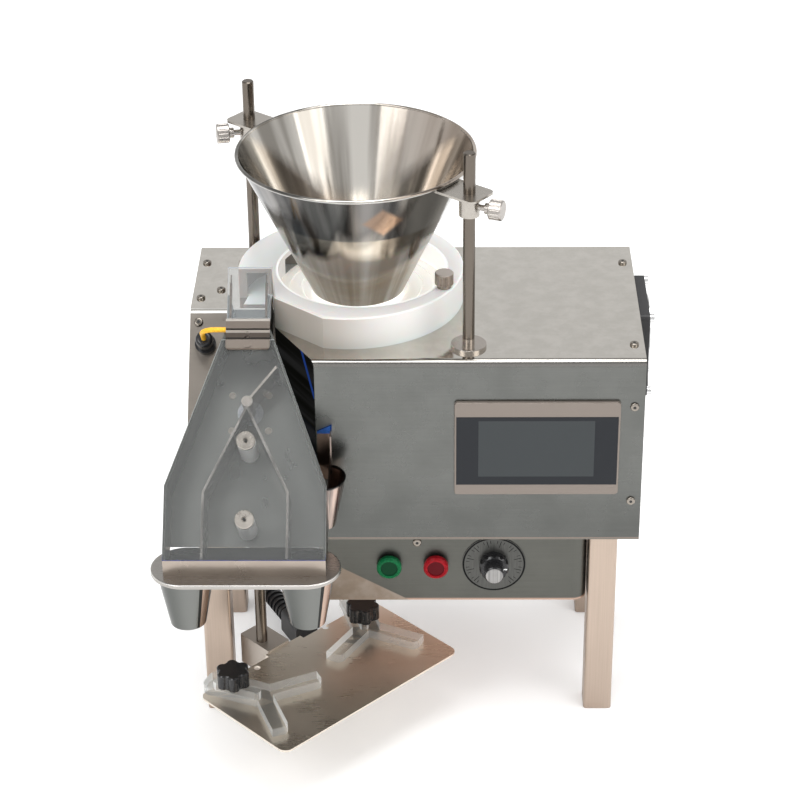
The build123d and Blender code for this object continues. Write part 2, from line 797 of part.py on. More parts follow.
def hopper_profile(thick):
    """Half section of the cone; with no thickness, the whole filled cone."""
    inner_top = hopper_rim_radius - thick if thick else 0
    inner_low = hopper_low_radius - thick if thick else 0
    points = [(hopper_low_radius, 0, 0), (hopper_rim_radius, 0, hopper_depth), (inner_top, 0, hopper_depth),
              (inner_low, 0, 0)]
    return make_face(Polyline(points, close=True))


def hopper():
    """Steel cone with a rolled rim."""
    cone = revolve(hopper_profile(hopper_wall), Axis.Z)
    rim = Pos(0, 0, hopper_depth) * Torus(hopper_rim_radius + 0.4, hopper_rim_wire)
    return Pos(hopper_x, hopper_y, hopper_low) * (cone + rim)


def hopper_ears():
    """Ear plates welded to the cone, with the collars that slide on the posts."""
    filled = Pos(hopper_x, hopper_y, hopper_low) * revolve(hopper_profile(0), Axis.Z)
    top = hopper_top - ear_drop
    reach = hypot(post_dx, post_dy)
    ears = []
    for side, turn in ((1, thumb_angle_right), (-1, thumb_angle_left)):
        x, y = hopper_x + side * post_dx, hopper_y - side * post_dy
        angle = degrees(atan2(y - hopper_y, x - hopper_x))
        plate = block(hopper_rim_radius - 8, reach + ear_width / 2, -ear_width / 2, ear_width / 2,
                      top - ear_thick, top)
        plate = fillet([e for e in plate.edges().filter_by(Axis.Z) if e.center().X > reach], 5)
        ear = Pos(hopper_x, hopper_y, 0) * Rot(0, 0, angle) * plate - filled
        ear += pillar(x, y, top - ear_thick - collar_height, top - ear_thick, collar_radius)
        ear -= pillar(x, y, top - 40, top + 5, post_radius + running_gap)
        stem = Rot(0, 90, 0) * pillar(0, 0, 0, 30, m5_radius + running_gap)
        ear -= Pos(x, y, top - ear_thick - collar_height / 2 - 1) * Rot(0, 0, turn) * stem
        ears.append(ear)
    return ears


def hopper_posts():
    """Two posts with their foot flanges."""
    posts = []
    for side in (1, -1):
        x, y = hopper_x + side * post_dx, hopper_y - side * post_dy
        rod = pillar(x, y, deck_top, deck_top + post_height, post_radius)
        rod = chamfer(rod.edges().group_by(Axis.Z)[-1], 0.8)
        foot = pillar(x, y, deck_top, deck_top + post_flange_thick, post_flange_radius)
        posts.append(rod + chamfer(foot.edges().group_by(Axis.Z)[-1], 0.5))
    return posts


def hopper_screw(side, turn):
    """Thumb screw in a collar, pointing away from the post."""
    x, y = hopper_x + side * post_dx, hopper_y - side * post_dy
    z = hopper_top - ear_drop - ear_thick - collar_height / 2 - 1
    head = Pos(0, 0, thumb_reach) * knurled_head(thumb_radius, thumb_length)
    stem = pillar(0, 0, post_radius + running_gap, thumb_reach, m5_radius)
    neck = pillar(0, 0, thumb_reach - 4, thumb_reach, 4.5)
    return Pos(x, y, z) * Rot(0, 0, turn) * Rot(0, 90, 0) * (head + stem + neck)


def chute_half(s):
    """Half width of the chute, outside its walls, at this distance down the slope."""
    flare = (kink_half - neck_half) / (kink_s - neck_end)
    return neck_half + flare * (s - neck_end)


def mirrored(half_outline):
    """Closed outline from its right half, given from the top down."""
    return list(half_outline) + [(-u, s) for u, s in reversed(half_outline)]


def chute_outline(top, low, room=0.0):
    """Outline of the chute between two distances down the slope, with some room round it."""
    if top < neck_end:
        points = [(neck_half + room, top), (neck_half + room, neck_end)]
    else:
        points = [(chute_half(top) + room, top)]
    return mirrored(points + [(kink_half + room, kink_s), (kink_half + room, low)])


def slope_s(y, z):
    """Distance down the slope of a point in space."""
    return (notch_depth - y + deck_top - z) / sqrt(2)


front_wall_top = chute_front_y + rise + chute_depth * sqrt(2)
cover_low = slope_s(chute_front_y, front_wall_top)
far_down = cover_low + 60
chute_room = block(-400, 400, chute_front_y, notch_depth + 60, cup_plate_top, deck_top + 200)


def chute_tray():
    """Back plate with side walls and the low front wall; it stands on the cup plate."""
    outer = on_slope(chute_outline(chute_top, far_down), 0, chute_depth)
    long_outline = chute_outline(chute_top - 20, far_down + 20)
    long_face = make_face(Polyline([(u, -s, chute_plate) for u, s in long_outline], close=True))
    inner = offset(long_face, -chute_wall, kind=Kind.INTERSECTION)
    tray = (outer - slope * extrude(inner, amount=chute_depth, dir=(0, 0, 1))) & chute_room
    low_wall = block(chute_x - kink_half, chute_x + kink_half, chute_front_y, chute_front_y + chute_wall,
                     cup_plate_top, front_wall_top)
    tray += low_wall
    tray -= slope_pin(0, flap_s, -1, chute_plate + 1, pilot_radius + 0.1)
    half = stepper_screw_pitch / 2
    for du in (-half, half):
        for ds in (-half, half):
            tray -= slope * Pos(du, -flap_s + ds, 0) * countersink(0.1)
    axis_u, axis_s = stop_pin_place(1)
    tray += slope_pin(axis_u, axis_s, chute_plate - 0.5, chute_plate + stop_pin_height, stop_pin_radius)
    axis_u, axis_s = stop_pin_place(-1)
    return tray + slope_pin(axis_u, axis_s, chute_plate - 0.5, chute_plate + stop_pin_height, stop_pin_radius)


def stop_pin_place(side):
    """Middle of the pin that the flap rests on, right or left."""
    angle = radians(flap_rest)
    away = flap_thick / 2 + stop_pin_radius + sliding_gap
    u = stop_pin_reach * sin(angle) + away * cos(angle)
    s = flap_s - stop_pin_reach * cos(angle) + away * sin(angle)
    return side * u, s


def countersink(room):
    """Countersunk screw that holds the motor, or with some room the hole for it."""
    head_low = chute_plate - 1.6
    cone = Pos(0, 0, (head_low + chute_plate + room) / 2) * Cone(1.5 + room, 3.1 + room, 1.6 + room)
    length = 7.0
    shank = Pos(0, 0, head_low + 0.1 - length / 2) * Cylinder(1.5 + room, length)
    return cone + shank


def motor_screws():
    """Four countersunk screws through the chute's plate."""
    half = stepper_screw_pitch / 2
    return [slope * Pos(du, -flap_s + ds, 0) * countersink(0) for du in (-half, half) for ds in (-half, half)]


def flap_stepper():
    """Square stepper motor behind the chute."""
    half = stepper_size / 2
    body = block(-half, half, -flap_s - half, -flap_s + half, -stepper_length, 0)
    body = chamfer(body.edges().filter_by(Axis.Z), 3)
    body += pillar(0, -flap_s, 0, chute_plate, pilot_radius)
    body -= pillar(0, -flap_s, -20, chute_plate + 1, flap_shaft_radius + running_gap)
    offset_hole = stepper_screw_pitch / 2
    for du in (-offset_hole, offset_hole):
        for ds in (-offset_hole, offset_hole):
            body -= pillar(du, -flap_s + ds, -8, 1, 1.5 + screw_gap)
    return slope * body


def flap():
    """Blade on its hub and the motor's shaft."""
    low = chute_plate + flap_gap
    high = chute_depth - flap_gap
    blade = block(-flap_thick / 2, flap_thick / 2, 0, flap_length, low, high)
    blade = Rot(0, 0, -flap_rest) * blade
    hub = pillar(0, 0, low, high, flap_hub_radius)
    shaft = pillar(0, 0, -19, low, flap_shaft_radius)
    return slope * Pos(0, -flap_s, 0) * (blade + hub + shaft)


def chute_divider():
    """Bent strip that parts the two channels below the flap."""
    apex = flap_s + flap_hub_radius + 2 * sliding_gap
    faces = []
    for low in (far_down, far_down + 20):
        outline = mirrored([(1.5, apex), (divider_half, divider_kink), (divider_half, low)])
        faces.append(make_face(Polyline([(u, -s, chute_plate) for u, s in outline], close=True)))
    inner = offset(faces[1], -divider_thick, kind=Kind.INTERSECTION)
    strip = extrude(faces[0], amount=chute_depth - chute_plate, dir=(0, 0, 1))
    strip = slope * (strip - extrude(inner, amount=chute_depth, dir=(0, 0, 1)))
    room = block(-400, 400, chute_front_y + chute_wall, notch_depth, cup_plate_top, deck_top)
    return strip & room


def chute_cover():
    """Clear cover on the chute's walls."""
    cover = on_slope(chute_outline(cover_top, cover_low), chute_depth, chute_depth + cover_thick)
    for s in standoff_places:
        cover -= slope_pin(0, s, chute_depth - 1, chute_depth + cover_thick + 1, m5_radius + screw_gap)
    return cover


def cover_standoffs():
    """White pillars between the chute's plate and its cover."""
    pillars = []
    for s in standoff_places:
        one = slope_pin(0, s, chute_plate, chute_depth, standoff_radius)
        pillars.append(one - slope_pin(0, s, chute_depth - 12, chute_depth + 1, m5_radius + running_gap))
    return pillars


def cover_screws():
    """Screws with broad discs and hexagon sockets on the cover."""
    screws = []
    low = chute_depth + cover_thick
    for s in standoff_places:
        disc = pillar(0, -s, low, low + disc_thick, standoff_radius)
        disc = chamfer(disc.edges().group_by(Axis.Z)[-1], 0.6)
        socket = Pos(0, -s, low + 1.2) * extrude(RegularPolygon(2.6, 6), amount=5)
        disc -= socket
        screws.append(slope * (disc + pillar(0, -s, chute_depth - 11, low, m5_radius)))
    return screws


def stadium(radius, z0, z1):
    """Plate with round ends, over both cups."""
    middle = block(chute_x - cup_pitch / 2, chute_x + cup_pitch / 2, cup_y - radius, cup_y + radius, z0, z1)
    for side in (-1, 1):
        middle += pillar(chute_x + side * cup_pitch / 2, cup_y, z0, z1, radius)
    return middle


def cup_plate():
    """Stadium shaped plate with a turned down lip and one opening for each channel."""
    plate = stadium(cup_plate_radius, cup_plate_top - lip_height, cup_plate_top)
    plate = fillet(plate.edges().group_by(Axis.Z)[-1], 1.2)
    plate -= stadium(cup_plate_radius - 1.5, cup_plate_top - lip_height - 1, cup_plate_low)
    for side in (-1, 1):
        x = chute_x + side * cup_pitch / 2
        mouth = pillar(x, cup_y, cup_plate_low - 1, cup_plate_top + 1, cup_mouth_radius - 1)
        channel = block(chute_x + side * 50.5 - 13.5, chute_x + side * 50.5 + 13.5,
                        chute_front_y + chute_wall, cup_y + 26, cup_plate_low - 1, cup_plate_top + 1)
        plate -= mouth & channel
    return plate


def bottle_cups():
    """Funnel cups that guide the capsules into the bottles."""
    points = [(cup_flange_radius, 0), (cup_flange_radius, -1.5), (cup_mouth_radius, -1.5),
              (cup_end_radius, -cup_length), (cup_end_radius - cup_wall, -cup_length),
              (cup_mouth_radius - cup_wall, -1.5), (cup_mouth_radius - cup_wall, 0)]
    cup = revolve(make_face(Polyline([(r, 0, z) for r, z in points], close=True)), Axis.Z)
    places = [chute_x + side * cup_pitch / 2 for side in (-1, 1)]
    return [Pos(x, cup_y, cup_plate_low) * cup for x in places]


def purge_cup():
    """Half round cup beside the chute, with its spout sheet on the front face."""
    top = deck_top - purge_drop
    low = top - purge_length
    flat = chute_x + kink_half
    middle = Pos(purge_x, purge_y, (low + top) / 2)
    outer = middle * Cone(purge_end_radius, purge_radius, purge_length)
    inner = middle * Cone(purge_end_radius - cup_wall, purge_radius - cup_wall, purge_length)
    room = block(flat, flat + 60, purge_y - 40, purge_y + 40, low - 1, top + 1)
    inside = block(flat + cup_wall, flat + 60, purge_y - 40, purge_y + 40, low - 1, top + 1)
    cup = (outer & room) - (inner & inside)
    slant = [(spout_left, low + 30), (spout_left, top + 31), (spout_right, top + 37), (spout_right, low + 30)]
    face = make_face(Polyline([(x, 0, z) for x, z in slant], close=True))
    sheet_back = extrude(face, amount=1.5, dir=(0, -1, 0))
    side = block(spout_right - cup_wall, spout_right, purge_y + 8, 0, top - 4, top + 34)
    return cup + (sheet_back - (inner & inside)) + side


def sensor_block():
    """Sensor body across the chute's mouth, its clamp plate and its two light bars."""
    left, right = sensor_left - chute_x, sensor_right - chute_x
    middle = (left + right) / 2
    top = chute_depth + sensor_thick
    body = block(left, right, -sensor_low, -sensor_top, chute_depth, top)
    body -= block(left - 1, right + 1, -33.6, -32.8, top - 1.2, top + 1)
    body -= Pos(middle, -37.0, top) * Cylinder(1.8, 2)
    body -= Pos(middle, -sensor_low, top) * Rot(0, 0, 45) * Box(4.4, 4.4, 3)
    clamp_w = chute_depth + cover_thick
    clamp = block(left, right, -clamp_low, -sensor_low, clamp_w, top)
    corners = [e for e in clamp.edges().filter_by(Axis.Z) if e.center().Y < -clamp_low + 0.1]
    clamp = fillet(corners, 3)
    clamp += Pos(middle, -46.5, top) * Cylinder(3.0, 1.6)
    bars = []
    for side in (-1, 1):
        u = side * bar_offset
        bar = block(u - bar_width / 2, u + bar_width / 2, -sensor_top, 8, chute_depth, chute_depth + 3)
        tip = block(u - bar_width / 4, u + bar_width / 4, 8, 15, chute_depth, chute_depth + 3)
        bars.append(bar + tip)
    whole = body + clamp
    for bar in bars:
        whole += bar
    return slope * whole


def outlet_guard():
    """Clear guard above the gap between the bowl's outlet and the chute."""
    left, right = sensor_left + 1 - chute_x, sensor_right + 0.5 - chute_x
    guard = block(left, right, -sensor_top + 0.1, -guard_top, chute_depth + 3, chute_depth + 3 + guard_thick)
    return slope * guard


def cable_glands():
    """Black glands: the sensor lead's on the slope, the mains lead's on the rear panel."""
    lead = pillar(lead_gland_u, -lead_s, 0, 5, gland_radius + 1)
    lead += pillar(lead_gland_u, -lead_s, 5, gland_height, gland_radius - 0.6)
    lead = fillet(lead.edges().group_by(Axis.Z)[-1], 3)
    z = base_low + cord_gland_rise
    mains = bar_y(cord_gland_x, z, housing_depth, housing_depth + 6, gland_radius + 2)
    mains += bar_y(cord_gland_x, z, housing_depth + 6, cord_to_coil[0][1], gland_radius)
    mains += bar_y(cord_gland_x, z, housing_depth - 8, housing_depth, gland_radius - 2.1)
    return [slope * lead, mains]


def swept_tube(points, radii, radius):
    """Round tube along straight runs joined by tangent arcs."""
    path = FilletPolyline(points, radius=radii)
    section = Plane(origin=path @ 0, z_dir=path % 0) * Circle(radius)
    tube = sweep(section, path=path)
    return tube, path.length


def sensor_lead():
    """Lead of the sensor: out of the gland, over and into the block's side."""
    high = chute_depth + sensor_thick / 2
    end = sensor_left - chute_x
    points = [(lead_gland_u, -lead_s, gland_height), (lead_gland_u, -lead_s, high), (end, -lead_s, high)]
    return slope * swept_tube(points, [lead_bend], lead_radius)[0]


def platform_rod():
    """Upright rod that carries the bottle platform."""
    low = platform_top + block_proud - block_height - 10
    rod = pillar(rod_x, rod_y, low, base_low - 0.5, rod_radius)
    return chamfer(rod.edges().group_by(Axis.Z)[0], 1)


def on_platform(piece):
    """Turn a piece from the platform's own frame to where the platform rests."""
    return Pos(rod_x, rod_y, 0) * Rot(0, 0, platform_rest) * piece


def clamp_block():
    """Block on the rod with its clamp screw."""
    top = platform_top + block_proud
    low = top - block_height
    body = block(block_left, block_right, block_front, block_back, low, top)
    body = chamfer(body.edges().filter_by(Axis.Z), 0.8)
    body -= pillar(0, 0, low - 1, top + 1, rod_radius + running_gap)
    z = top - 9
    body -= bar_y(0, z, rod_radius, block_back + 1, m4_radius + running_gap)
    clamp_screw = bar_y(0, z, rod_radius + 0.1, block_back, m4_radius)
    clamp_screw += bar_y(0, z, block_back, block_back + 4, 3.5)
    return [on_platform(body), on_platform(clamp_screw)]


def platform_plate():
    """Plate that the bottles stand on, with a turned down tab on the block."""
    plate = block(plate_left, plate_right, plate_front, plate_back, platform_low, platform_top)
    plate = fillet(plate.edges().filter_by(Axis.Z), plate_corner)
    plate += block(tab_left, tab_right, plate_back - 1, block_front, platform_low, platform_top)
    plate += block(tab_left, tab_right, block_front - plate_thick, block_front,
                   platform_top - tab_height, platform_top)
    for x, y in plate_holes:
        plate -= pillar(x, y, platform_low - 1, platform_top + 1, plate_hole_radius)
    for v, turn, stud in fork_seats:
        x, y = fork_point(v, turn, -stud)
        plate -= pillar(x, y, platform_low - 1, platform_top + 1, m5_radius + running_gap)
    return on_platform(plate)


fork_seats = ((fork_left_v, fork_left_turn, fork_left_stud), (fork_right_v, fork_right_turn, fork_right_stud))


def fork_point(v, turn, along):
    """Point on a fork's axis, in the platform's frame: along is measured outward from the notch."""
    angle = radians(turn)
    return v[0] + along * sin(angle), v[1] - along * cos(angle)


def place_fork(piece, v, turn):
    """Move a piece from the fork's own frame, whose X points out of the notch."""
    return on_platform(Pos(v[0], v[1], 0) * Rot(0, 0, turn - 90) * piece)


def fork(v, turn):
    """Clear fork: slotted stem and two arms round the notch."""
    stem = Pos(-stem_length / 2 + 2, 0) * Rectangle(stem_length + 4, stem_width)
    outline = stem
    for side in (-1, 1):
        arm = Pos((arm_length - 8) / 2, side * arm_width / 2) * Rectangle(arm_length + 8, arm_width)
        outline += Rot(0, 0, side * arm_angle) * arm
    for side in (-1, 1):
        away = Pos(60, -side * 60) * Rectangle(120, 120)
        outline -= (Rot(0, 0, side * arm_angle) * away) & (Pos(60, 0) * Rectangle(120, 240))
    slot = Pos(-slot_start - slot_length / 2, 0) * SlotOverall(slot_length, slot_width)
    solid = extrude(outline - slot, amount=fork_thick)
    tips = [e for e in solid.edges().filter_by(Axis.Z) if e.center().X > arm_length * 0.5]
    solid = fillet(tips, fork_tip_radius)
    heel = [e for e in solid.edges().filter_by(Axis.Z) if e.center().X < 1 - stem_length]
    solid = fillet(heel, fork_heel_radius)
    return place_fork(Pos(0, 0, platform_top) * solid, v, turn)


def fork_pivot(v, turn, stud):
    """Bush in the slot with its stud and the nut under the plate."""
    low = platform_low - stud_nut_height
    top = platform_top + fork_thick
    pivot = pillar(-stud, 0, platform_top, top, slot_width / 2 - running_gap)
    pivot += pillar(-stud, 0, platform_low, top + star_height - 3, m5_radius)
    nut = extrude(RegularPolygon(stud_nut_radius, 6), amount=stud_nut_height)
    return place_fork(pivot + Pos(-stud, 0, low) * nut, v, turn)


def fork_knob(v, turn, stud):
    """Star knob on the stud."""
    low = platform_top + fork_thick
    star = Circle(star_radius - 3)
    for step in range(6):
        angle = radians(60 * step)
        star += Pos((star_radius - 5) * cos(angle), (star_radius - 5) * sin(angle)) * Circle(5)
    head = extrude(star, amount=star_height)
    head = chamfer(head.edges().group_by(Axis.Z)[-1], 1.0)
    knob = Pos(0, 0, star_collar_height) * head
    knob += Pos(0, 0, star_collar_height / 2) * Cylinder(star_collar_radius, star_collar_height)
    knob -= Pos(0, 0, star_height / 2 - 1) * Cylinder(m5_radius + running_gap, star_height + 2)
    return place_fork(Pos(-stud, 0, low) * knob, v, turn)


def corner_radii(points, share=0.45):
    """One arc radius for each corner of a route, as large as its two runs allow."""
    radii = []
    for before, here, after in zip(points, points[1:], points[2:]):
        first = Vector(*here) - Vector(*before)
        second = Vector(*after) - Vector(*here)
        turn = radians(first.get_angle(second))
        radii.append(share * min(first.length, second.length) / tan(turn / 2))
    return radii


def mains_cord():
    """The two stretches of the mains lead that aren't coiled."""
    tubes = []
    for points in (cord_to_coil, cord_to_plug):
        radii = corner_radii(points)
        tube, length = swept_tube(points, radii, cord_radius)
        error = tube.volume / (pi * cord_radius ** 2 * length) - 1
        print("cord stretch", round(length), "mm, smallest radius", round(min(radii), 1))
        print("volume error", round(error, 5))
        tubes.append(tube - mains_coil() - mains_plug())
    return tubes


def mains_coil():
    """Outer shape of the coiled part of the mains lead."""
    outer = coil_mean_radius + 2 * cord_radius
    inner = coil_mean_radius - 2 * cord_radius
    height = 2 * cord_radius * coil_rows
    return pillar(coil_x, coil_y, 0, height, outer) - pillar(coil_x, coil_y, -1, height + 1, inner)


def mains_plug():
    """Plug with its ribbed strain relief, lying on the floor."""
    dx, dy = plug_tip[0] - plug_tail[0], plug_tip[1] - plug_tail[1]
    reach = hypot(dx, dy)
    body = block(reach - plug_length, reach, -plug_width / 2, plug_width / 2, -plug_thick / 2, plug_thick / 2)
    body = fillet(body.edges().filter_by(Axis.X), 6)
    relief_end = reach - plug_length
    relief = Pos(relief_end / 2, 0, 0) * Rot(0, 90, 0) * Cone(relief_radius - 1, relief_radius, relief_end)
    for step in range(relief_ribs):
        x = 3 + step * (relief_end - 6) / (relief_ribs - 1)
        relief += bar_x(0, 0, x - 1.2, x + 1.2, relief_radius + 1)
    tail = cord_to_plug[-1]
    angle = degrees(atan2(dy, dx))
    plug = body + relief
    start = hypot(tail[0] - plug_tail[0], tail[1] - plug_tail[1])
    plug += bar_x(0, 0, -start, 1, cord_radius + 1.5)
    return Pos(plug_tail[0], plug_tail[1], plug_thick / 2) * Rot(0, 0, angle) * plug


save("top_cover", top_cover())
save("front_left_panel", front_left_panel())
save("left_panel", left_panel())
save("right_panel", right_panel())
save("rear_panel", rear_panel())
save("base_panel", *base_panel())
housing_screws = [screw(place, direction, m4_radius) for place, direction in screw_places()]
save("panel_screws", *housing_screws, *motor_screws())
save("control_box", control_box())

leg_left = housing_left + leg_side_inset
leg_right = housing_right - leg_right_inset - leg_width
leg_back = housing_depth - leg_back_inset - leg_width
save("leg_front_left", leg(leg_left, leg_front_inset))
save("leg_front_right", leg(leg_right, leg_front_inset))
save("leg_rear_left", leg(leg_left, leg_back))
save("leg_rear_right", leg(leg_right, leg_back))

save("start_button", push_button(start_x))
save("stop_button", push_button(stop_x))
save("control_bodies", *control_bodies())
save("dial_plate", dial_plate())
save("speed_knob", speed_knob())
save("hmi_case", hmi_case())
save("hmi_glass", hmi_glass())
save("electronics", *electronics())
save("fan_frame", fan_frame())
save("fan_rotor", fan_rotor())
save("fan_guard", fan_guard())

save("bowl_ring", bowl_ring())
save("turntable", turntable())
save("turntable_spindle", turntable_spindle())
save("bearing_housing", bearing_housing())
save("gear_motor", gear_motor())
save("ring_thumb_screw", ring_thumb_screw())
save("hopper", hopper())
save("hopper_ears", *hopper_ears())
save("hopper_posts", *hopper_posts())
save("hopper_screw_right", hopper_screw(1, thumb_angle_right))
save("hopper_screw_left", hopper_screw(-1, thumb_angle_left))

save("chute_tray", chute_tray())
save("flap_stepper", flap_stepper())
save("flap", flap())
save("chute_divider", chute_divider())
save("chute_cover", chute_cover())
save("cover_standoffs", *cover_standoffs())
save("cover_screws", *cover_screws())
save("cup_plate", cup_plate())
save("bottle_cups", *bottle_cups())
save("purge_cup", purge_cup())
save("sensor_block", sensor_block())
save("outlet_guard", outlet_guard())
save("cable_glands", *cable_glands())
save("sensor_lead", sensor_lead())

save("platform_rod", platform_rod())
save("clamp_block", *clamp_block())
save("platform_plate", platform_plate())
for side, (v, turn, stud) in zip(("left", "right"), fork_seats):
    save(f"fork_{side}", fork(v, turn))
    save(f"fork_pivot_{side}", fork_pivot(v, turn, stud))
    save(f"fork_knob_{side}", fork_knob(v, turn, stud))

save("mains_cord", *mains_cord())
save("mains_coil", mains_coil())
save("mains_plug", mains_plug())
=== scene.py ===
# %% [markdown]
# # Dressing a capsule counter
# The solids of this bench machine come packed from the CAD side: sheet steel, a hopper, a white bowl, a chute.
# This lesson keeps every solid where it is and gives it the finish that the real machine shows.
# Lengths are in metres, +Z is up and the operator stands on the -Y side.

# %% Load the frame
from math import atan, cos, degrees, pi, radians, sin, sqrt

import bmesh
import bpy
from mathutils import Matrix, Vector


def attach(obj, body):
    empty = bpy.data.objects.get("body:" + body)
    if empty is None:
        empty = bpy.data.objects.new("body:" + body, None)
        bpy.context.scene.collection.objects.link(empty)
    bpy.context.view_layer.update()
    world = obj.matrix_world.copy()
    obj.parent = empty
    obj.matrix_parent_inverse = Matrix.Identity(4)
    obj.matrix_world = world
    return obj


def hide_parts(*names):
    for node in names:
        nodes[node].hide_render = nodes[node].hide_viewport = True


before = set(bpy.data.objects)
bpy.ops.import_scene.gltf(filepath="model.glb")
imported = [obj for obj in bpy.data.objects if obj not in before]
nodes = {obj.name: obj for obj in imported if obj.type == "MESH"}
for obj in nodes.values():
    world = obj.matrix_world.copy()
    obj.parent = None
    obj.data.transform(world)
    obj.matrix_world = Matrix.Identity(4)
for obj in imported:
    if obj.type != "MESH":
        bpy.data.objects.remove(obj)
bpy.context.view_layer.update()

# %% [markdown]
# The drawing of the machine was made with its front left corner in mind, so many places below are easier to read
# in millimetres from the housing's front face. Three small functions turn them into the frame's metres.

# %% Drawing places
MIDDLE_X = 41.67
MIDDLE_Y = 49.702
MM = 0.001
DECK = 369
SLOPE_TOP_Y = 95.4


def x_of(x):
    """The frame's x of a place in the drawing."""
    return (x - MIDDLE_X) * MM


def y_of(y):
    """The frame's y of a place in the drawing."""
    return (y - MIDDLE_Y) * MM


def at(x, y, z):
    """A place in the drawing, in millimetres, as a point in the frame."""
    return Vector((x_of(x), y_of(y), z * MM))


print("the deck's front left corner lies at", tuple(round(c, 4) for c in at(-145, 0, DECK)))

# %% [markdown]
# ## The camera
# A product photograph like this one is taken from about two metres with a long lens, a little above the machine.
# The angles were solved from the housing's square corners, so they go straight into a rotation matrix.
# A long focal length keeps the upright edges nearly parallel.

# %% Camera
CAMERA_PLACE = at(67.468, -1771.905, 1354.162)
CAMERA_YAW = radians(-1.017)
CAMERA_PITCH = radians(29.963)
CAMERA_ROLL = radians(-0.604)
FOCAL_MM = 110.57
SENSOR_MM = 36

forward = Vector((sin(CAMERA_YAW) * cos(CAMERA_PITCH), cos(CAMERA_YAW) * cos(CAMERA_PITCH), -sin(CAMERA_PITCH)))
level_right = Vector((cos(CAMERA_YAW), -sin(CAMERA_YAW), 0))
level_up = level_right.cross(forward)
right = cos(CAMERA_ROLL) * level_right + sin(CAMERA_ROLL) * level_up
up = -sin(CAMERA_ROLL) * level_right + cos(CAMERA_ROLL) * level_up

camera_data = bpy.data.cameras.new("camera")
camera_data.lens = FOCAL_MM
camera_data.sensor_width = SENSOR_MM
camera_data.clip_end = 50
camera = bpy.data.objects.new("camera", camera_data)
camera.matrix_world = Matrix.Translation(CAMERA_PLACE) @ Matrix((right, up, -forward)).transposed().to_4x4()
bpy.context.scene.collection.objects.link(camera)
bpy.context.scene.camera = camera
print("field of view", round(degrees(2 * atan(SENSOR_MM / 2 / FOCAL_MM)), 1), "degrees")

# %% [markdown]
# ## The mains lead
# The lead leaves the gland on the back, bends down to the bench, is wound into a neat coil behind the machine
# and ends in a connector that lies by the left rear leg. A curve with a round bevel suits it: the control points
# are the route, and a NURBS spline of order three draws the smooth line that a rubber lead takes between them.

# %% Route of the lead
LEAD_DIAMETER = 0.0065
to_coil = ((-60, 234, 225), (-60, 262, 225), (-57, 292, 200), (-52, 308, 154), (-47, 312, 104),
           (-42, 318, 58), (-28, 330, 22), (0, 340, 10.5), (26, 341.75, 9.75))
to_plug = ((26, 265.25, 3.4), (6, 266, 3.4), (-22, 273, 3.4), (-52, 284, 3.4), (-84, 284, 3.4),
           (-110, 266, 4.5), (-119, 238, 10), (-109.9, 212.1, 14), (-100.5, 194.4, 14))
COIL_MIDDLE = (40, 303.5)
POINTS_A_TURN = 24
TURNS = 3.5
track_radius = (38.25, 31.75, 31.75, 38.25)
track_height = (9.75, 9.75, 3.3, 3.3)
CHANGE_FROM = 0.74      # share of a turn after which the lead moves over to its next track


def coil_points():
    """Places along the coil, clockwise from its far side, one track after the other."""
    step = 2 * pi / POINTS_A_TURN
    swell = 2 / (1 + cos(step))
    last = len(track_radius) - 1
    points = []
    for count in range(1, int(TURNS * POINTS_A_TURN)):
        turned = count / POINTS_A_TURN
        track = int(turned)
        change = max(0, (turned - track - CHANGE_FROM) / (1 - CHANGE_FROM))
        change = change * change * (3 - 2 * change)
        after = min(track + 1, last)
        radius = swell * (track_radius[track] + change * (track_radius[after] - track_radius[track]))
        height = track_height[track] + change * (track_height[after] - track_height[track])
        angle = pi / 2 - 2 * pi * turned
        points.append((COIL_MIDDLE[0] + radius * cos(angle), COIL_MIDDLE[1] + radius * sin(angle), height))
    return points


lead_route = [at(*point) for point in (*to_coil, *coil_points(), *to_plug)]
print("control points of the lead:", len(lead_route))

# %% [markdown]
# ## Sums on sockets
# Node trees for materials are mostly arithmetic: distances, masks, blends. Wrapping a socket in a small class lets
# them be written as Python expressions, and every + or * then adds its own Math node. Reflected forms such as
# `1 - mask` are defined too. Numbers alone stay plain Python.

# %% A socket that can be added and multiplied
class Value:
    """A number that changes over the surface: one output socket of a finish's tree."""

    def __init__(self, finish, socket):
        self.finish = finish
        self.socket = socket

    def _math(self, operation, *terms):
        return self.finish.node("ShaderNodeMath", {"operation": operation}, dict(enumerate(terms)))

    def __add__(self, other):
        return self._math("ADD", self, other)

    def __radd__(self, other):
        return self._math("ADD", other, self)

    def __sub__(self, other):
        return self._math("SUBTRACT", self, other)

    def __rsub__(self, other):
        return self._math("SUBTRACT", other, self)

    def __mul__(self, other):
        return self._math("MULTIPLY", self, other)

    def __rmul__(self, other):
        return self._math("MULTIPLY", other, self)

    def __truediv__(self, other):
        return self._math("DIVIDE", self, other)

    def __rtruediv__(self, other):
        return self._math("DIVIDE", other, self)

    def __gt__(self, limit):
        return self._math("GREATER_THAN", self, limit)

    def __lt__(self, limit):
        return self._math("LESS_THAN", self, limit)

    def __abs__(self):
        return self._math("ABSOLUTE", self)

    def root(self):
        """Square root."""
        return self._math("SQRT", self)

    def wave(self):
        """Sine."""
        return self._math("SINE", self)

    def part(self):
        """What is left after the whole number."""
        return self._math("FRACT", self)

    def angle_from(self, other):
        """Angle of the pair, in radians."""
        return self._math("ARCTAN2", self, other)

    def between(self, low, high):
        """1 between two limits, 0 outside."""
        return (self > low) * (self < high)


def distance(one, other):
    """Length of a vector with two parts."""
    return (one * one + other * other).root()


print("sums can be written on sockets")

# %% [markdown]
# A finish is one material. It starts as a Principled shader with its constants set on the shader's own sockets,
# and its one `node` method makes any other node: type first, then settings, then sockets.
# Places come from object coordinates, because every solid keeps its place in the frame in its own mesh.

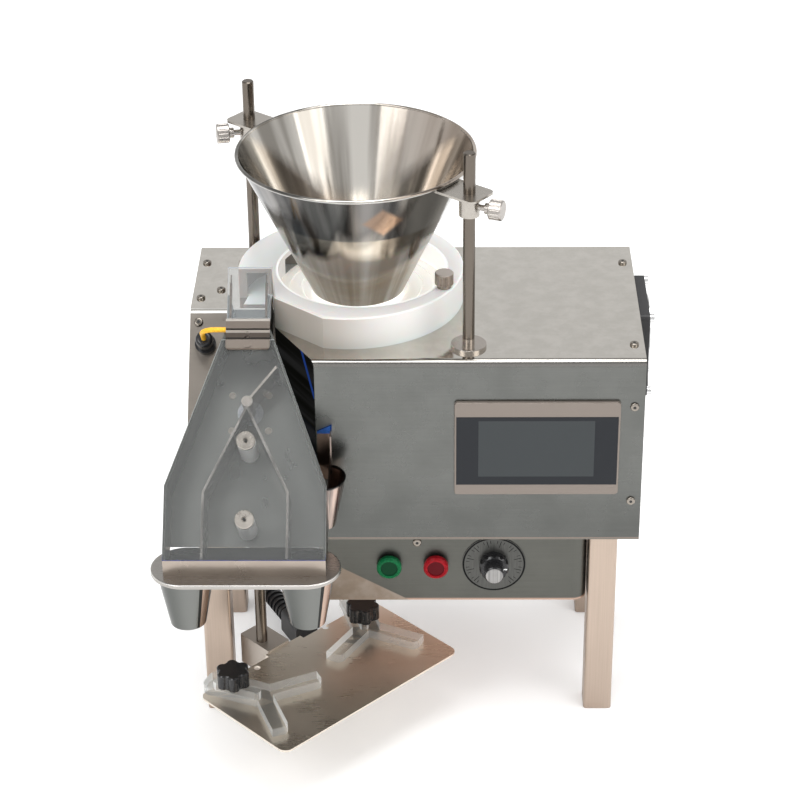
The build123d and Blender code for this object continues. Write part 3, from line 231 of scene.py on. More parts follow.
# %% A finish
class Finish:
    """A material made step by step."""

    def __init__(self, name, color, roughness, **constants):
        self.material = bpy.data.materials.new(name)
        self.material.use_nodes = True
        self.tree = self.material.node_tree
        self.shader = self.tree.nodes["Principled BSDF"]
        self.shader.inputs["Base Color"].default_value = (*color, 1)
        self.shader.inputs["Roughness"].default_value = roughness
        for socket, value in constants.items():
            self.shader.inputs[socket.replace("_", " ").title().replace("Ior", "IOR")].default_value = value
        self.place = self.node("ShaderNodeTexCoord", output="Object")
        self.x, self.y, self.z = self.split(self.place)

    def node(self, kind, settings=None, sockets=None, output=0):
        """Adds any node: its settings first, then values or links for its sockets."""
        made = self.tree.nodes.new(kind)
        for setting, value in (settings or {}).items():
            setattr(made, setting, value)
        for socket, value in (sockets or {}).items():
            if isinstance(value, Value):
                self.tree.links.new(value.socket, made.inputs[socket])
            else:
                made.inputs[socket].default_value = value
        return Value(self, made.outputs[output])

    def split(self, vector):
        """The three parts of a vector."""
        apart = self.tree.nodes.new("ShaderNodeSeparateXYZ")
        self.tree.links.new(vector.socket, apart.inputs[0])
        return [Value(self, socket) for socket in apart.outputs]

    def facing(self):
        """The surface's direction in the object's own axes."""
        return self.split(self.node("ShaderNodeTexCoord", output="Normal"))

    def grain(self, stretch, detail=3.0, roughness=0.55):
        """Noise between 0 and 1; stretch says how many cells go into a metre along each axis."""
        scaled = self.node("ShaderNodeVectorMath", {"operation": "MULTIPLY"}, {0: self.place, 1: stretch})
        sockets = {"Vector": scaled, "Scale": 1.0, "Detail": detail, "Roughness": roughness}
        return self.node("ShaderNodeTexNoise", None, sockets)

    def blend(self, factor, first, second):
        """Goes from the first colour to the second."""
        first = first if isinstance(first, Value) else (*first, 1)
        second = second if isinstance(second, Value) else (*second, 1)
        return self.node("ShaderNodeMix", {"data_type": "RGBA"}, {0: factor, 6: first, 7: second}, output=2)

    def soft(self, value, low, high):
        """A smooth step from 0 at low to 1 at high."""
        settings = {"interpolation_type": "SMOOTHSTEP"}
        return self.node("ShaderNodeMapRange", settings, {"Value": value, 1: low, 2: high})

    def feed(self, socket, value):
        """Links a value or colour to the shader."""
        self.tree.links.new(value.socket, self.shader.inputs[socket])

    def glow(self, color, strength=1.0):
        """A little light of its own, for surfaces that pass light on or lie in a narrow gap."""
        self.feed("Emission Color", color)
        self.shader.inputs["Emission Strength"].default_value = strength

    def relief(self, height, distance, strength=1.0):
        """Small bumps; distance is the depth in metres."""
        self.feed("Normal", self.node("ShaderNodeBump", None,
                                      {"Height": height, "Distance": distance, "Strength": strength}))

    def give(self, *names):
        """Puts the finish on solids of the frame."""
        for name in names:
            slots = nodes[name].data.materials
            slots.clear()
            slots.append(self.material)


print("the node kit is ready")

# %% [markdown]
# ## Stainless steel
# Most of the machine is stainless sheet. Up close it shows three things: fine parallel lines from the rolling mill,
# wider cloudy patches where hands and cloths have been, and a roughness that changes with both.
# All three come from noise that is stretched along the rolling direction. A sheet lying level is polished more than
# one that stands upright, so each sheet gets its own roughness. It also gets its own colour, which holds painted
# light:
# the lit level sheets are painted paler. Two places differ from their sheet: the sloping panel has a painted
# highlight, a bright line where it meets the cover, and the feet of the hopper's posts are paler, a painted highlight
# on them.

# %% Steel sheets
ACROSS = (14, 900, 900)         # cells of the rolling marks in a metre of x, y and z
UPRIGHT = (900, 900, 14)
EVEN = (300, 300, 300)
PATCHES = (22, 22, 22)
MARK_DEPTH = 0.00004


def steel(name, color, roughness, lines, cloud=0.14, line=0.10, depth=0.5):
    """Sheet steel; lines stretches the rolling marks, cloud and line say how much patches and marks show."""
    finish = Finish(name, color, roughness, metallic=1.0)
    marks = finish.grain(lines, 2.0)
    finish.patches = patches = finish.grain(PATCHES, 4.0)
    shade = (marks - 0.5) * line + (patches - 0.5) * cloud + 0.5
    darker = [channel * 0.72 for channel in color]
    lighter = [min(1, channel * 1.28) for channel in color]
    finish.tone = finish.blend(finish.soft(shade, 0.3, 0.7), darker, lighter)
    finish.feed("Base Color", finish.tone)
    finish.feed("Roughness", (patches - 0.5) * 0.22 + (marks - 0.5) * 0.12 + roughness)
    finish.relief(marks, MARK_DEPTH, depth)
    return finish


SLOPE_LINE = 0.3658             # height at which the slope meets the cover
FOOT_TOP = 0.377                # top of the posts' feet
ROD_TOP = 0.3                   # below it the same steel is the platform's rod

panel_steel = steel("panel_steel", (0.205, 0.185, 0.163), 0.34, ACROSS, 0.12, 0.04, 0.12)
panel_up = panel_steel.facing()[2]
on_slope = panel_steel.soft(panel_up, 0.5, 0.6) * panel_steel.soft(panel_up, 0.9, 0.8)
# painted highlight: a bright line on the sloping panel where it meets the cover
slope_top_highlight = on_slope * (panel_steel.z > SLOPE_LINE)
panel_steel.feed("Base Color", panel_steel.blend(slope_top_highlight * 0.9, panel_steel.tone, (0.90, 0.88, 0.85)))
panel_steel.give("left_panel", "right_panel", "rear_panel", "base_panel", "front_left_panel")
bright_steel = steel("bright_steel", (0.165, 0.142, 0.12), 0.24, UPRIGHT)
# painted highlight: the feet of the hopper's posts are painted paler than the rest of the same steel
post_foot_highlight = bright_steel.soft(bright_steel.z, FOOT_TOP + 0.0005, FOOT_TOP - 0.0005) * (bright_steel.z > ROD_TOP)
bright_steel.feed("Base Color", bright_steel.blend(post_foot_highlight, bright_steel.tone, (0.46, 0.42, 0.38)))
bright_steel.give("hopper_posts", "platform_rod", "flap")
ear_steel = steel("ear_steel", (0.46, 0.43, 0.39), 0.28, EVEN, 0.2)
ear_steel.give("hopper_ears", "cover_screws")
small_steel = steel("small_steel", (0.30, 0.27, 0.235), 0.2, EVEN, 0.2)
small_steel.give("panel_screws", "turntable_spindle", "fork_pivot_left", "fork_pivot_right")
sheets = (panel_steel, bright_steel, ear_steel, small_steel)
print("steel finishes so far:", *[finish.material.name for finish in sheets])

# %% [markdown]
# The top cover is one folded sheet with three different looks, painted into its colour: a bright level deck, painted
# pale where it lies level, a grey-green upright front with cloudy marks, and a slanting corner wall so smooth that it
# shows the dark side of the room, painted as dark reflected bands. The direction of the surface tells them apart, so
# one material serves the whole sheet. Smaller painted marks lie over the three: the bend between deck and front has a
# darker painted reflection, the deck's cut edge beside the slope glows as a painted highlight, the front is painted
# darker towards its lower edge, and a low strip along the front's lower edge has a painted warm reflection of the
# bench. On the corner wall two rests of blue protective film are left, and a trace of glow stands for light that is
# thrown back and forth in the corner.

# %% Top cover
FILM_LOW, FILM_HIGH = 0.262, 0.305
BAND_LOW, BAND_HIGH = 0.333, 0.366
BAND_LEAN = 1.92                # rise of the slanting film for one unit of depth
HALF_BAND = 0.002
LOWER_EDGE = 0.195

cover = steel("cover_steel", (0.152, 0.155, 0.147), 0.27, ACROSS, 0.26, 0.08)
face_x, face_y, face_z = cover.facing()
is_level = cover.soft(face_z, 0.5, 0.9)
scuffs = cover.grain((60, 60, 60), 5.0, 0.7)
# painted light: the level deck is painted pale, with real scuffs in it, while the front keeps the dark sheet tone
lit_deck_and_scuffs = cover.blend(cover.soft(scuffs, 0.35, 0.7), (0.57, 0.545, 0.50), (0.64, 0.61, 0.565))
tone = cover.blend(is_level, cover.tone, lit_deck_and_scuffs)
# painted reflection: the rounded bend between deck and front is painted a darker grey than the deck
is_bend = cover.soft(face_z, 0.1, 0.3) * cover.soft(face_z, 0.99, 0.9)
tone = cover.blend(is_bend, tone, (0.27, 0.26, 0.245))
is_wall = (face_x < -0.5) * (cover.y > y_of(1)) * (cover.x > x_of(-74))
# painted reflection: the smooth corner wall is painted in dark bands, the dark side of the room that it mirrors
wall_reflection_bands = cover.soft(cover.grain((3, 3, 90), 2.0), 0.42, 0.62)
wall_reflection_tone = cover.blend(wall_reflection_bands, (0.030, 0.028, 0.024), (0.13, 0.13, 0.135))
tone = cover.blend(is_wall, tone, wall_reflection_tone)
is_film = is_wall * (cover.y < y_of(19)) * cover.z.between(FILM_LOW, FILM_HIGH)
band_y = cover.y - y_of(17) - (cover.z - BAND_HIGH) / BAND_LEAN
blue_band = is_wall * band_y.between(-HALF_BAND, HALF_BAND) * (cover.z > BAND_LOW)
tone = cover.blend((is_film + blue_band) * 0.85, tone, (0.03, 0.09, 0.40))
# painted highlight: the deck's cut edge beside the slope glows pale
is_cut_edge = cover.soft(face_y, -0.8, -0.95) * (cover.y > y_of(90))
wall_glow = cover.blend(wall_reflection_bands, (0.003, 0.003, 0.0025), (0.012, 0.012, 0.012))
wall_glow = cover.blend(blue_band, wall_glow, (0.012, 0.035, 0.16))
glow = cover.blend(is_wall, (0, 0, 0), wall_glow)
cover.glow(cover.blend(is_cut_edge, glow, (0.5, 0.485, 0.46)))
# painted reflection of the bench: a warm strip along the front's lower edge
bench_reflection_strip = cover.soft(cover.z, LOWER_EDGE + 0.0016, LOWER_EDGE)
is_front = cover.soft(face_y, -0.5, -0.9)
# painted shade: the front is painted darker towards its lower edge
tone = cover.blend(is_front * cover.soft(cover.z, 0.27, 0.21) * 0.25, tone, (0.05, 0.052, 0.05))
tone = cover.blend(bench_reflection_strip * is_front * 0.6, tone, (0.55, 0.37, 0.28))
cover.feed("Base Color", tone)
cover.feed("Roughness", 0.27 - is_level * 0.17 - is_wall * 0.17 + (cover.patches - 0.5) * 0.16)
cover.give("top_cover")
print("cover steel blends three looks by the sheet's direction")

# %% [markdown]
# The control box has the same brushed sheet with a greener tone; its lower rim has a painted warm reflection of the
# bench, and the lower left corner of its front has a painted reflection of something tan and stained. The legs are
# ground tube that mirrors the pale bench, so their colour has a beige cast, a painted reflection. The chute's plate is
# painted darker, as it lies in the shade of its cover and walls, while its low front wall is painted light where it
# catches the light. The platform has a painted sheen that grows paler towards the right, and the cup plate has a
# painted highlight along its rim and a painted shadow where it lies under the chute's end.

# %% Box, legs, chute and plates
BOX_EDGE = 0.121
TAN_HEIGHT = 0.1567             # of the tan corner's border, at the place TAN_X
TAN_X = -21.8
TAN_FALL = 0.575                # fall of that border for one unit of width
RIM_LOW, RIM_HIGH = 0.2208, 0.2214
CHUTE_END = -97

box_steel = steel("box_steel", (0.122, 0.122, 0.110), 0.4, ACROSS, 0.25)
# painted reflection: the box's lower rim takes a warm tone from the bench
rim_bench_reflection = box_steel.soft(box_steel.z, BOX_EDGE + 0.0016, BOX_EDGE)
box_tone = box_steel.blend(rim_bench_reflection * 0.8, box_steel.tone, (0.55, 0.37, 0.29))
# painted reflection: the lower left corner of the front mirrors something tan and stained
below_line = (box_steel.x - x_of(TAN_X)) * TAN_FALL + box_steel.z - TAN_HEIGHT
tan_corner_reflection = box_steel.soft(below_line, 0.0006, -0.0006) * box_steel.soft(box_steel.facing()[1], -0.5, -0.9)
mirrored_stains = box_steel.soft(box_steel.grain((45, 45, 45), 4.0), 0.4, 0.62)
tan_reflection_tone = box_steel.blend(mirrored_stains, (0.30, 0.24, 0.19), (0.37, 0.31, 0.26))
box_steel.feed("Base Color", box_steel.blend(tan_corner_reflection * 0.9, box_tone, tan_reflection_tone))
box_steel.give("control_box")
# painted reflection: the legs' beige colour stands for the pale bench that they mirror
leg_steel = steel("leg_steel", (0.50, 0.405, 0.335), 0.34, UPRIGHT, 0.08)
leg_steel.give("leg_front_left", "leg_front_right", "leg_rear_left", "leg_rear_right")
# painted shade and light: the plate's colour is dark for the shade of its cover and walls, and its low front wall is
# painted lit
chute_steel = steel("chute_steel", (0.125, 0.129, 0.122), 0.3, (60, 24, 24), 0.16, 0.05, 0.02)
front_wall = chute_steel.soft(chute_steel.facing()[1], -0.9, -0.97) * (chute_steel.y < y_of(CHUTE_END))
lit_wall = chute_steel.blend(front_wall, chute_steel.tone, (0.42, 0.36, 0.31))
chute_steel.feed("Base Color", lit_wall)
chute_steel.give("chute_tray")
divider_steel = steel("divider_steel", (0.40, 0.38, 0.36), 0.24, (40, 40, 900), 0.2)
divider_steel.give("chute_divider")
plate_steel = steel("plate_steel", (0.76, 0.69, 0.60), 0.3, (30, 900, 900), 0.10, 0.03, 0.03)
# painted sheen: the platform's plate is painted paler towards its right rear
painted_sheen = plate_steel.soft(plate_steel.x * 0.8 + plate_steel.y, x_of(-90) * 0.8, x_of(60) * 0.8)
plate_steel.feed("Base Color", plate_steel.blend(painted_sheen * 0.9, plate_steel.tone, (0.97, 0.82, 0.69)))
plate_steel.give("platform_plate")
rim_steel = steel("rim_steel", (0.42, 0.40, 0.375), 0.28, (30, 900, 900), 0.12, 0.04, 0.1)
# painted shadow: the cup plate is painted dark where it lies under the chute's end
chute_shadow = rim_steel.soft(rim_steel.y, y_of(CHUTE_END - 0.5), y_of(CHUTE_END + 0.5))
chute_shadow = chute_shadow * rim_steel.x.between(x_of(-156), x_of(-27))
# painted highlight: a bright line along the plate's rim
rim_is_level = rim_steel.soft(rim_steel.facing()[2], 0.5, 0.9)
rim_highlight = rim_steel.soft(rim_steel.z, RIM_LOW, RIM_HIGH) * (1 - rim_is_level)
rim_highlight_tone = rim_steel.blend(rim_highlight, rim_steel.tone, (0.85, 0.83, 0.80))
rim_steel.feed("Base Color", rim_steel.blend(chute_shadow * 0.9, rim_highlight_tone, (0.05, 0.05, 0.05)))
rim_steel.give("cup_plate")
more_sheets = (box_steel, leg_steel, chute_steel, divider_steel, plate_steel, rim_steel)
print("and", len(more_sheets), "more for box, legs, chute, divider, platform and cup plate")

# %% [markdown]
# ## The hopper and the cups
# Spun cones are polished while they turn, and that leaves fine rings; what the eye sees, though, are bright and dark
# streaks that run up and down, because a cone mirrors the room in narrow upright slices. Noise laid over the
# direction from the cone's axis, hardly changing with height, paints such streaks into the colour: painted
# reflections.
# Inside, the hopper has a painted reflection of a tan side and of a shaded one. Outside it has a painted reflection of
# a dark room with a lit right side and a tan patch, a paler zone near its neck that is the deck's painted reflection,
# and a painted highlight on its bright rolled rim. The two cups stand side by side, so their painted reflection strips
# follow each cup's own left and right. The purge cup has a dark rim, and blue film on its spout.

# %% Streaked cones
NO_ZERO = 0.0001                # keeps a division by the distance from the axis safe


def spun_steel(name, color, roughness):
    """Polished steel with the fine rings of spinning."""
    finish = Finish(name, color, roughness, metallic=1.0)
    rings = (finish.z * 9000).wave() * 0.5 + 0.5
    finish.feed("Roughness", rings * 0.05 + roughness)
    finish.relief(rings, 0.00002, 0.4)
    return finish


def cone_steel(name, axis, dark, light, cells, roughness, bends=3.0):
    """Spun steel with painted reflections as upright streaks about an axis."""
    finish = spun_steel(name, light, roughness)
    from_x, from_y = finish.x - axis.x, finish.y - axis.y
    reach = distance(from_x, from_y) + NO_ZERO
    turned = finish.node("ShaderNodeCombineXYZ", None,
                         {0: from_x / reach * cells, 1: from_y / reach * cells, 2: finish.z * bends})
    streaks = finish.node("ShaderNodeTexNoise", None, {"Vector": turned, "Scale": 1.0, "Detail": 3.0})
    # painted reflection: bright and dark upright streaks of the mirrored room
    finish.streaks = finish.soft(streaks, 0.36, 0.64)
    finish.tone = finish.blend(finish.streaks, dark, light)
    finish.feed("Base Color", finish.tone)
    return finish


NECK_LINE = 0.4665
RIM_LINE = 0.511
hopper_middle = at(-0.5, 102, 0)
hopper_steel = cone_steel("hopper_steel", hopper_middle, (0.30, 0.28, 0.25), (0.72, 0.69, 0.64), 3.2, 0.08)
is_inside = hopper_steel.soft(hopper_steel.facing()[2], -0.05, 0.05)
side_x, side_y = hopper_steel.x - hopper_middle.x, hopper_steel.y - hopper_middle.y
# painted reflection inside the hopper: a tan side on the right and a shaded one at the left
inside_tan_reflection = hopper_steel.soft(side_x, 0.0, 0.07)
inside_tone = hopper_steel.blend(inside_tan_reflection * 0.55, hopper_steel.tone, (0.40, 0.31, 0.245))
shaded = hopper_steel.soft(side_x, -0.02, -0.045) * hopper_steel.soft(side_y, 0.03, 0.0)
inside_tone = hopper_steel.blend(shaded * 0.75, inside_tone, (0.12, 0.12, 0.115))
# painted reflection: outside, a dark room with a lit right side and a tan patch, and the deck below the neck
room_reflection_tone = hopper_steel.blend(hopper_steel.streaks, (0.035, 0.035, 0.035), (0.26, 0.25, 0.24))
off_patch = abs(side_x - 0.024) * 0.9 + abs(hopper_steel.z - 0.487)
tan_reflection_patch = hopper_steel.soft(off_patch, 0.018, 0.011)
lit_side = hopper_steel.soft(side_x, 0.032, 0.052)
room_reflection_tone = hopper_steel.blend(lit_side * 0.85, room_reflection_tone, (0.46, 0.45, 0.43))
room_reflection_tone = hopper_steel.blend(tan_reflection_patch * 0.8, room_reflection_tone, (0.36, 0.24, 0.165))
deck_mirror = hopper_steel.blend(hopper_steel.streaks, (0.21, 0.18, 0.145), (0.36, 0.345, 0.315))
is_low = hopper_steel.soft(hopper_steel.z, NECK_LINE + 0.001, NECK_LINE - 0.001)
outside_tone = hopper_steel.blend(is_low, room_reflection_tone, deck_mirror)
# painted highlight on the hopper's rolled rim
is_rim = hopper_steel.soft(hopper_steel.z, RIM_LINE - 0.0005, RIM_LINE + 0.0005)
outside_tone = hopper_steel.blend(is_rim, outside_tone, (0.55, 0.54, 0.52))
hopper_steel.feed("Base Color", hopper_steel.blend(is_inside, outside_tone, inside_tone))
hopper_steel.give("hopper")

CUP_PITCH = 0.1
CUPS_LEFT = -191.5              # half a pitch left of the first cup's axis
CUPS_Y = -83
cup_steel = spun_steel("cup_steel", (0.25, 0.25, 0.235), 0.2)
cup_x = ((cup_steel.x - x_of(CUPS_LEFT)) / CUP_PITCH).part() * CUP_PITCH - CUP_PITCH / 2
cup_y = cup_steel.y - y_of(CUPS_Y)
sideways = cup_x / (distance(cup_x, cup_y) + NO_ZERO)
# painted reflections: each cup is darker on its left, with a dark line and a warm strip on its right
cup_reflection_tone = cup_steel.blend(cup_steel.soft(sideways, -1.0, 0.3), (0.085, 0.09, 0.085), (0.20, 0.205, 0.195))
cup_reflection_tone = cup_steel.blend(sideways.between(0.56, 0.68), cup_reflection_tone, (0.03, 0.03, 0.028))
warm_reflection_strip = sideways.between(0.68, 0.92) * (cup_y < 0)
cup_steel.feed("Base Color", cup_steel.blend(warm_reflection_strip * 0.9, cup_reflection_tone, (0.60, 0.43, 0.34)))
cup_steel.give("bottle_cups")

DARK_RIM_LOW, DARK_RIM_HIGH = 0.2695, 0.2735
SPOUT_FILM_LOW = 0.301
purge = cone_steel("purge_steel", at(-31, -23.2, 0), (0.20, 0.17, 0.16), (0.66, 0.52, 0.45), 3.0, 0.16, 16.0)
dark_rim = purge.soft(purge.z, DARK_RIM_LOW, DARK_RIM_LOW + 0.0017)
dark_rim = dark_rim * purge.soft(purge.z, DARK_RIM_HIGH, DARK_RIM_HIGH - 0.001)
is_spout = purge.y > y_of(-2)
spout_film = is_spout * (purge.z > SPOUT_FILM_LOW)
purge_tone = purge.blend(dark_rim, purge.tone, (0.03, 0.03, 0.03))
purge_tone = purge.blend(is_spout, purge_tone, (0.34, 0.24, 0.19))
purge.feed("Base Color", purge.blend(spout_film, purge_tone, (0.05, 0.16, 0.55)))
purge.give("purge_cup")
print("spun pieces:", *[finish.material.name for finish in (hopper_steel, cup_steel, purge)])

# %% [markdown]
# ## White plastics
# The bowl and its disc are turned from milky engineering plastic. Light enters a little before it comes back, so a
# trace of subsurface scattering suits it, and the lathe leaves rings about the middle of the bowl, some of which
# show as light arcs on the disc. A little glow stands for the light that has wandered on inside the plastic, more of
# it on the bowl's inner wall. The stand-offs of the chute's cover are plain nylon.

# %% Bowl and disc
bowl_middle = at(2.5, 115, 0)


def turned_white(name, color, pitch, depth):
    """White plastic with lathe rings about the bowl's axis."""
    finish = Finish(name, color, 0.42, subsurface_weight=0.25, subsurface_scale=0.02, coat_weight=0.15)
    finish.reach = distance(finish.x - bowl_middle.x, finish.y - bowl_middle.y)
    rings = (finish.reach * (2 * pi / pitch)).wave() * 0.5 + 0.5
    finish.spots = finish.grain((40, 40, 40), 3.0)
    finish.feed("Roughness", rings * 0.08 + finish.spots * 0.1 + 0.34)
    finish.relief(rings, depth, 0.6)
    return finish


bowl = turned_white("bowl_white", (0.68, 0.655, 0.61), 0.0011, 0.00003)
# painted light: the bowl's top is painted pale, and its side goes from painted shade on the left to light on the right
bowl_top = bowl.soft(bowl.facing()[2], 0.4, 0.9)
bowl_side_shade_to_light = bowl.blend(bowl.soft(bowl.x, x_of(-40), x_of(60)), (0.32, 0.29, 0.255), (0.90, 0.90, 0.88))
bowl.feed("Base Color", bowl.blend(bowl_top, bowl_side_shade_to_light, (0.86, 0.86, 0.85)))
INNER_WALL = 0.074              # just outside the disc's radius
is_inner_wall = bowl.soft(bowl.reach, INNER_WALL + 0.0005, INNER_WALL - 0.0005)
bowl.glow(bowl.blend(is_inner_wall, (0.03, 0.029, 0.027), (0.42, 0.42, 0.41)))
bowl.give("bowl_ring")

DISC_WHITE = (0.84, 0.83, 0.80)
ARC_SPACING = 0.009
disc = turned_white("disc_white", DISC_WHITE, 0.0009, 0.00004)
disc_warm = [channel * share for channel, share in zip(DISC_WHITE, (0.97, 0.94, 0.89))]
disc_tone = disc.blend(disc.soft(disc.spots, 0.3, 0.7), DISC_WHITE, disc_warm)
arc = (disc.reach / ARC_SPACING).part().between(0.42, 0.5)
disc.feed("Base Color", disc.blend(arc * 0.6, disc_tone, (0.97, 0.97, 0.96)))
disc.glow(disc_tone, 0.42)
disc.give("turntable")

nylon = Finish("nylon_white", (0.82, 0.82, 0.81), 0.4, coat_weight=0.2)
nylon.relief(nylon.grain((500, 500, 500)), 0.00002, 0.15)
nylon.give("cover_standoffs")
print("white plastics are turned about", tuple(round(c, 4) for c in bowl_middle))

# %% [markdown]
# ## Clear acrylic
# The bottle forks, the chute's cover and the outlet guard are saw-cut acrylic. Such sheet is almost invisible face
# on, while its sawn edges are frosted and catch the light. Alpha carries both: low on the faces, high on the edges,
# and higher at grazing angles, where every clear sheet turns glossy. Blue film still covers the low edge of the
# chute's cover.

# %% Acrylic
HALF_ROOT = 0.7071              # sine and cosine of 45 degrees


def acrylic(name, face_alpha, edge_alpha, edge_mask):
    """Clear sheet; edge_mask says where its sawn edges are."""
    finish = Finish(name, (0.90, 0.93, 0.92), 0.06, ior=1.49)
    finish.edge = edge = edge_mask(finish)
    sawn = finish.grain((400, 400, 1500), 2.0)
    graze = finish.node("ShaderNodeFresnel", None, {"IOR": 1.35})
    finish.feed("Alpha", edge * (edge_alpha - face_alpha) + graze * 0.7 + face_alpha)
    finish.feed("Roughness", edge * 0.35 + 0.05)
    finish.relief(sawn * edge, 0.00006, 0.6)
    return finish


def level_sheet_edge(finish):
    """Edges of a sheet that lies level."""
    return 1 - finish.soft(abs(finish.facing()[2]), 0.4, 0.9)


def slope_sheet_edge(finish):
    """Edges of a sheet that lies on the slope of 45 degrees."""
    _, across, rising = finish.facing()
    return 1 - finish.soft(abs(rising - across) * HALF_ROOT, 0.4, 0.9)


fork_acrylic = acrylic("fork_acrylic", 0.05, 0.2, level_sheet_edge)
fork_acrylic.feed("Base Color", fork_acrylic.blend(fork_acrylic.edge, (0.80, 0.82, 0.80), (0.97, 0.98, 0.97)))
# painted highlight: the forks' edges glow a little
fork_acrylic.glow(fork_acrylic.blend(fork_acrylic.edge, (0.01, 0.01, 0.01), (0.08, 0.08, 0.079)))
fork_acrylic.give("fork_left", "fork_right")
cover_acrylic = acrylic("cover_acrylic", 0.04, 0.5, slope_sheet_edge)
is_low_end = cover_acrylic.y < y_of(-95.5)
film = cover_acrylic.edge * is_low_end
cover_acrylic.feed("Base Color", cover_acrylic.blend(film, (0.84, 0.86, 0.85), (0.04, 0.08, 0.42)))
cover_acrylic.give("chute_cover")
guard_acrylic = acrylic("guard_acrylic", 0.08, 0.6, slope_sheet_edge)
guard_acrylic.feed("Base Color", guard_acrylic.blend(guard_acrylic.edge, (0.84, 0.90, 0.94), (0.93, 0.96, 0.99)))
guard_acrylic.give("outlet_guard")
print("acrylic sheets:", *[finish.material.name for finish in (fork_acrylic, cover_acrylic, guard_acrylic)])

# %% [markdown]
# ## Black and coloured plastics
# Moulded pieces have a fine spark-eroded texture that scatters their highlights. The fan's plastic and the switch
# bodies are matt; the glands, the dial's knob and the star knobs of the forks are smoother. The leads' jackets are
# soft, and the hidden drives and electronics get a plain grey with some metal in it.

# %% Moulded plastics
def moulded(name, color, roughness, grain_size, depth, **constants):
    """Moulded plastic with a fine texture."""
    finish = Finish(name, color, roughness, **constants)
    texture = finish.grain((1 / grain_size,) * 3, 2.0)
    lighter = [channel * 1.6 + 0.004 for channel in color]
    finish.tone = finish.blend(finish.soft(texture, 0.3, 0.8), color, lighter)
    finish.feed("Base Color", finish.tone)
    finish.feed("Roughness", texture * 0.16 + roughness - 0.08)
    finish.relief(texture, depth, 0.5)
    return finish


matte_black = moulded("matte_black", (0.018, 0.018, 0.019), 0.5, 0.0007, 0.00008)
matte_black.give("fan_frame", "fan_rotor", "control_bodies")
gloss_black = moulded("gloss_black", (0.012, 0.012, 0.013), 0.18, 0.001, 0.00002)
gloss_black.give("speed_knob", "cable_glands", "fork_knob_left", "fork_knob_right")
lead_black = moulded("lead_black", (0.010, 0.010, 0.011), 0.34, 0.0012, 0.00004)
lead_black.give("mains_plug")
lead_yellow = moulded("lead_yellow", (0.72, 0.38, 0.012), 0.4, 0.0012, 0.00004)
lead_yellow.give("sensor_lead")
unit_grey = moulded("unit_grey", (0.22, 0.23, 0.25), 0.45, 0.0015, 0.00005, metallic=0.4)
unit_grey.give("electronics", "gear_motor", "flap_stepper")
moulds = (matte_black, gloss_black, lead_black, lead_yellow, unit_grey)
print("moulded finishes:", *[finish.material.name for finish in moulds])

# %% [markdown]
# The push buttons are tinted plastic. Distance from a button's own axis tells the darker dish from the rim.

# %% Push buttons
BUTTON_Z = 158
START_X, STOP_X = 24.8, 65.6
DISH_RADIUS = 7.6 * MM
DISH_BEVEL = 0.6 * MM


def button_plastic(name, middle_x, bright, deep):
    """Tinted plastic with a darker dish inside its rim."""
    finish = moulded(name, bright, 0.34, 0.0016, 0.00003, specular_ior_level=0.12)
    axis = at(middle_x, 0, BUTTON_Z)
    reach = distance(finish.x - axis.x, finish.z - axis.z)
    inside = finish.soft(reach, DISH_RADIUS, DISH_RADIUS - DISH_BEVEL)
    finish.feed("Base Color", finish.blend(inside, finish.tone, deep))
    return finish


button_plastic("button_green", START_X, (0.003, 0.11, 0.036), (0.001, 0.045, 0.016)).give("start_button")
button_plastic("button_red", STOP_X, (0.25, 0.004, 0.009), (0.10, 0.002, 0.006)).give("stop_button")
print("buttons at x", [round(x_of(x), 4) for x in (START_X, STOP_X)])

# %% [markdown]
# ## The dial
# The scale under the knob is a satin disc with a thin printed ring and ticks. A printed mark has no thickness worth
# modelling, so it is a mask in the colour: distance from the knob's axis, here in millimetres, picks the ring, and
# the angle, cut into equal parts, picks the ticks. The gap at the bottom has none, as on any turned scale.

# %% Dial print
DIAL_X = 116.2
TICKS_A_TURN = 12
TICK_START, TICK_MIDDLE, TICK_END = 18.0, 21.5, 24.5
RING_INSIDE, RING_OUTSIDE = 25.9, 27.4
SCALE_HALF = 0.43               # share of a turn that has ticks, to either side of the top
dial = Finish("dial_satin", (0.5, 0.5, 0.48), 0.32, metallic=0.85)
dial_axis = at(DIAL_X, 0, BUTTON_Z)
dial_x, dial_z = dial.x - dial_axis.x, dial.z - dial_axis.z
dial_reach = distance(dial_x, dial_z) * (1 / MM)
dial_angle = dial_x.angle_from(dial_z) / (2 * pi)
long_tick = (dial_angle * TICKS_A_TURN).part().between(0.475, 0.525) * dial_reach.between(TICK_START, TICK_END)
short_tick = (dial_angle * TICKS_A_TURN * 2).part().between(0.46, 0.54)
short_tick = short_tick * dial_reach.between(TICK_MIDDLE, TICK_END)
has_ticks = abs(dial_angle) < SCALE_HALF
ring_print = dial_reach.between(RING_INSIDE, RING_OUTSIDE)
print_mask = 1 - (1 - long_tick * has_ticks) * (1 - short_tick * has_ticks) * (1 - ring_print)
satin = dial.grain((1800, 60, 60), 2.0)
dial_tone = dial.blend(dial.soft(satin, 0.3, 0.7), (0.082, 0.082, 0.077), (0.11, 0.11, 0.103))
dial.feed("Base Color", dial.blend(print_mask, dial_tone, (0.006, 0.006, 0.006)))
dial.feed("Roughness", satin * 0.15 + 0.25)
dial.give("dial_plate")
print("dial:", TICKS_A_TURN, "ticks to a full turn, none in the lowest part")

# %% [markdown]
# ## The operator panel
# The bezel is silver paint with a slight warm cast, and behind the dark front glass the unlit screen shows as a
# slightly lighter grey field. Both are even surfaces, so only a faint orange peel breaks the highlights.

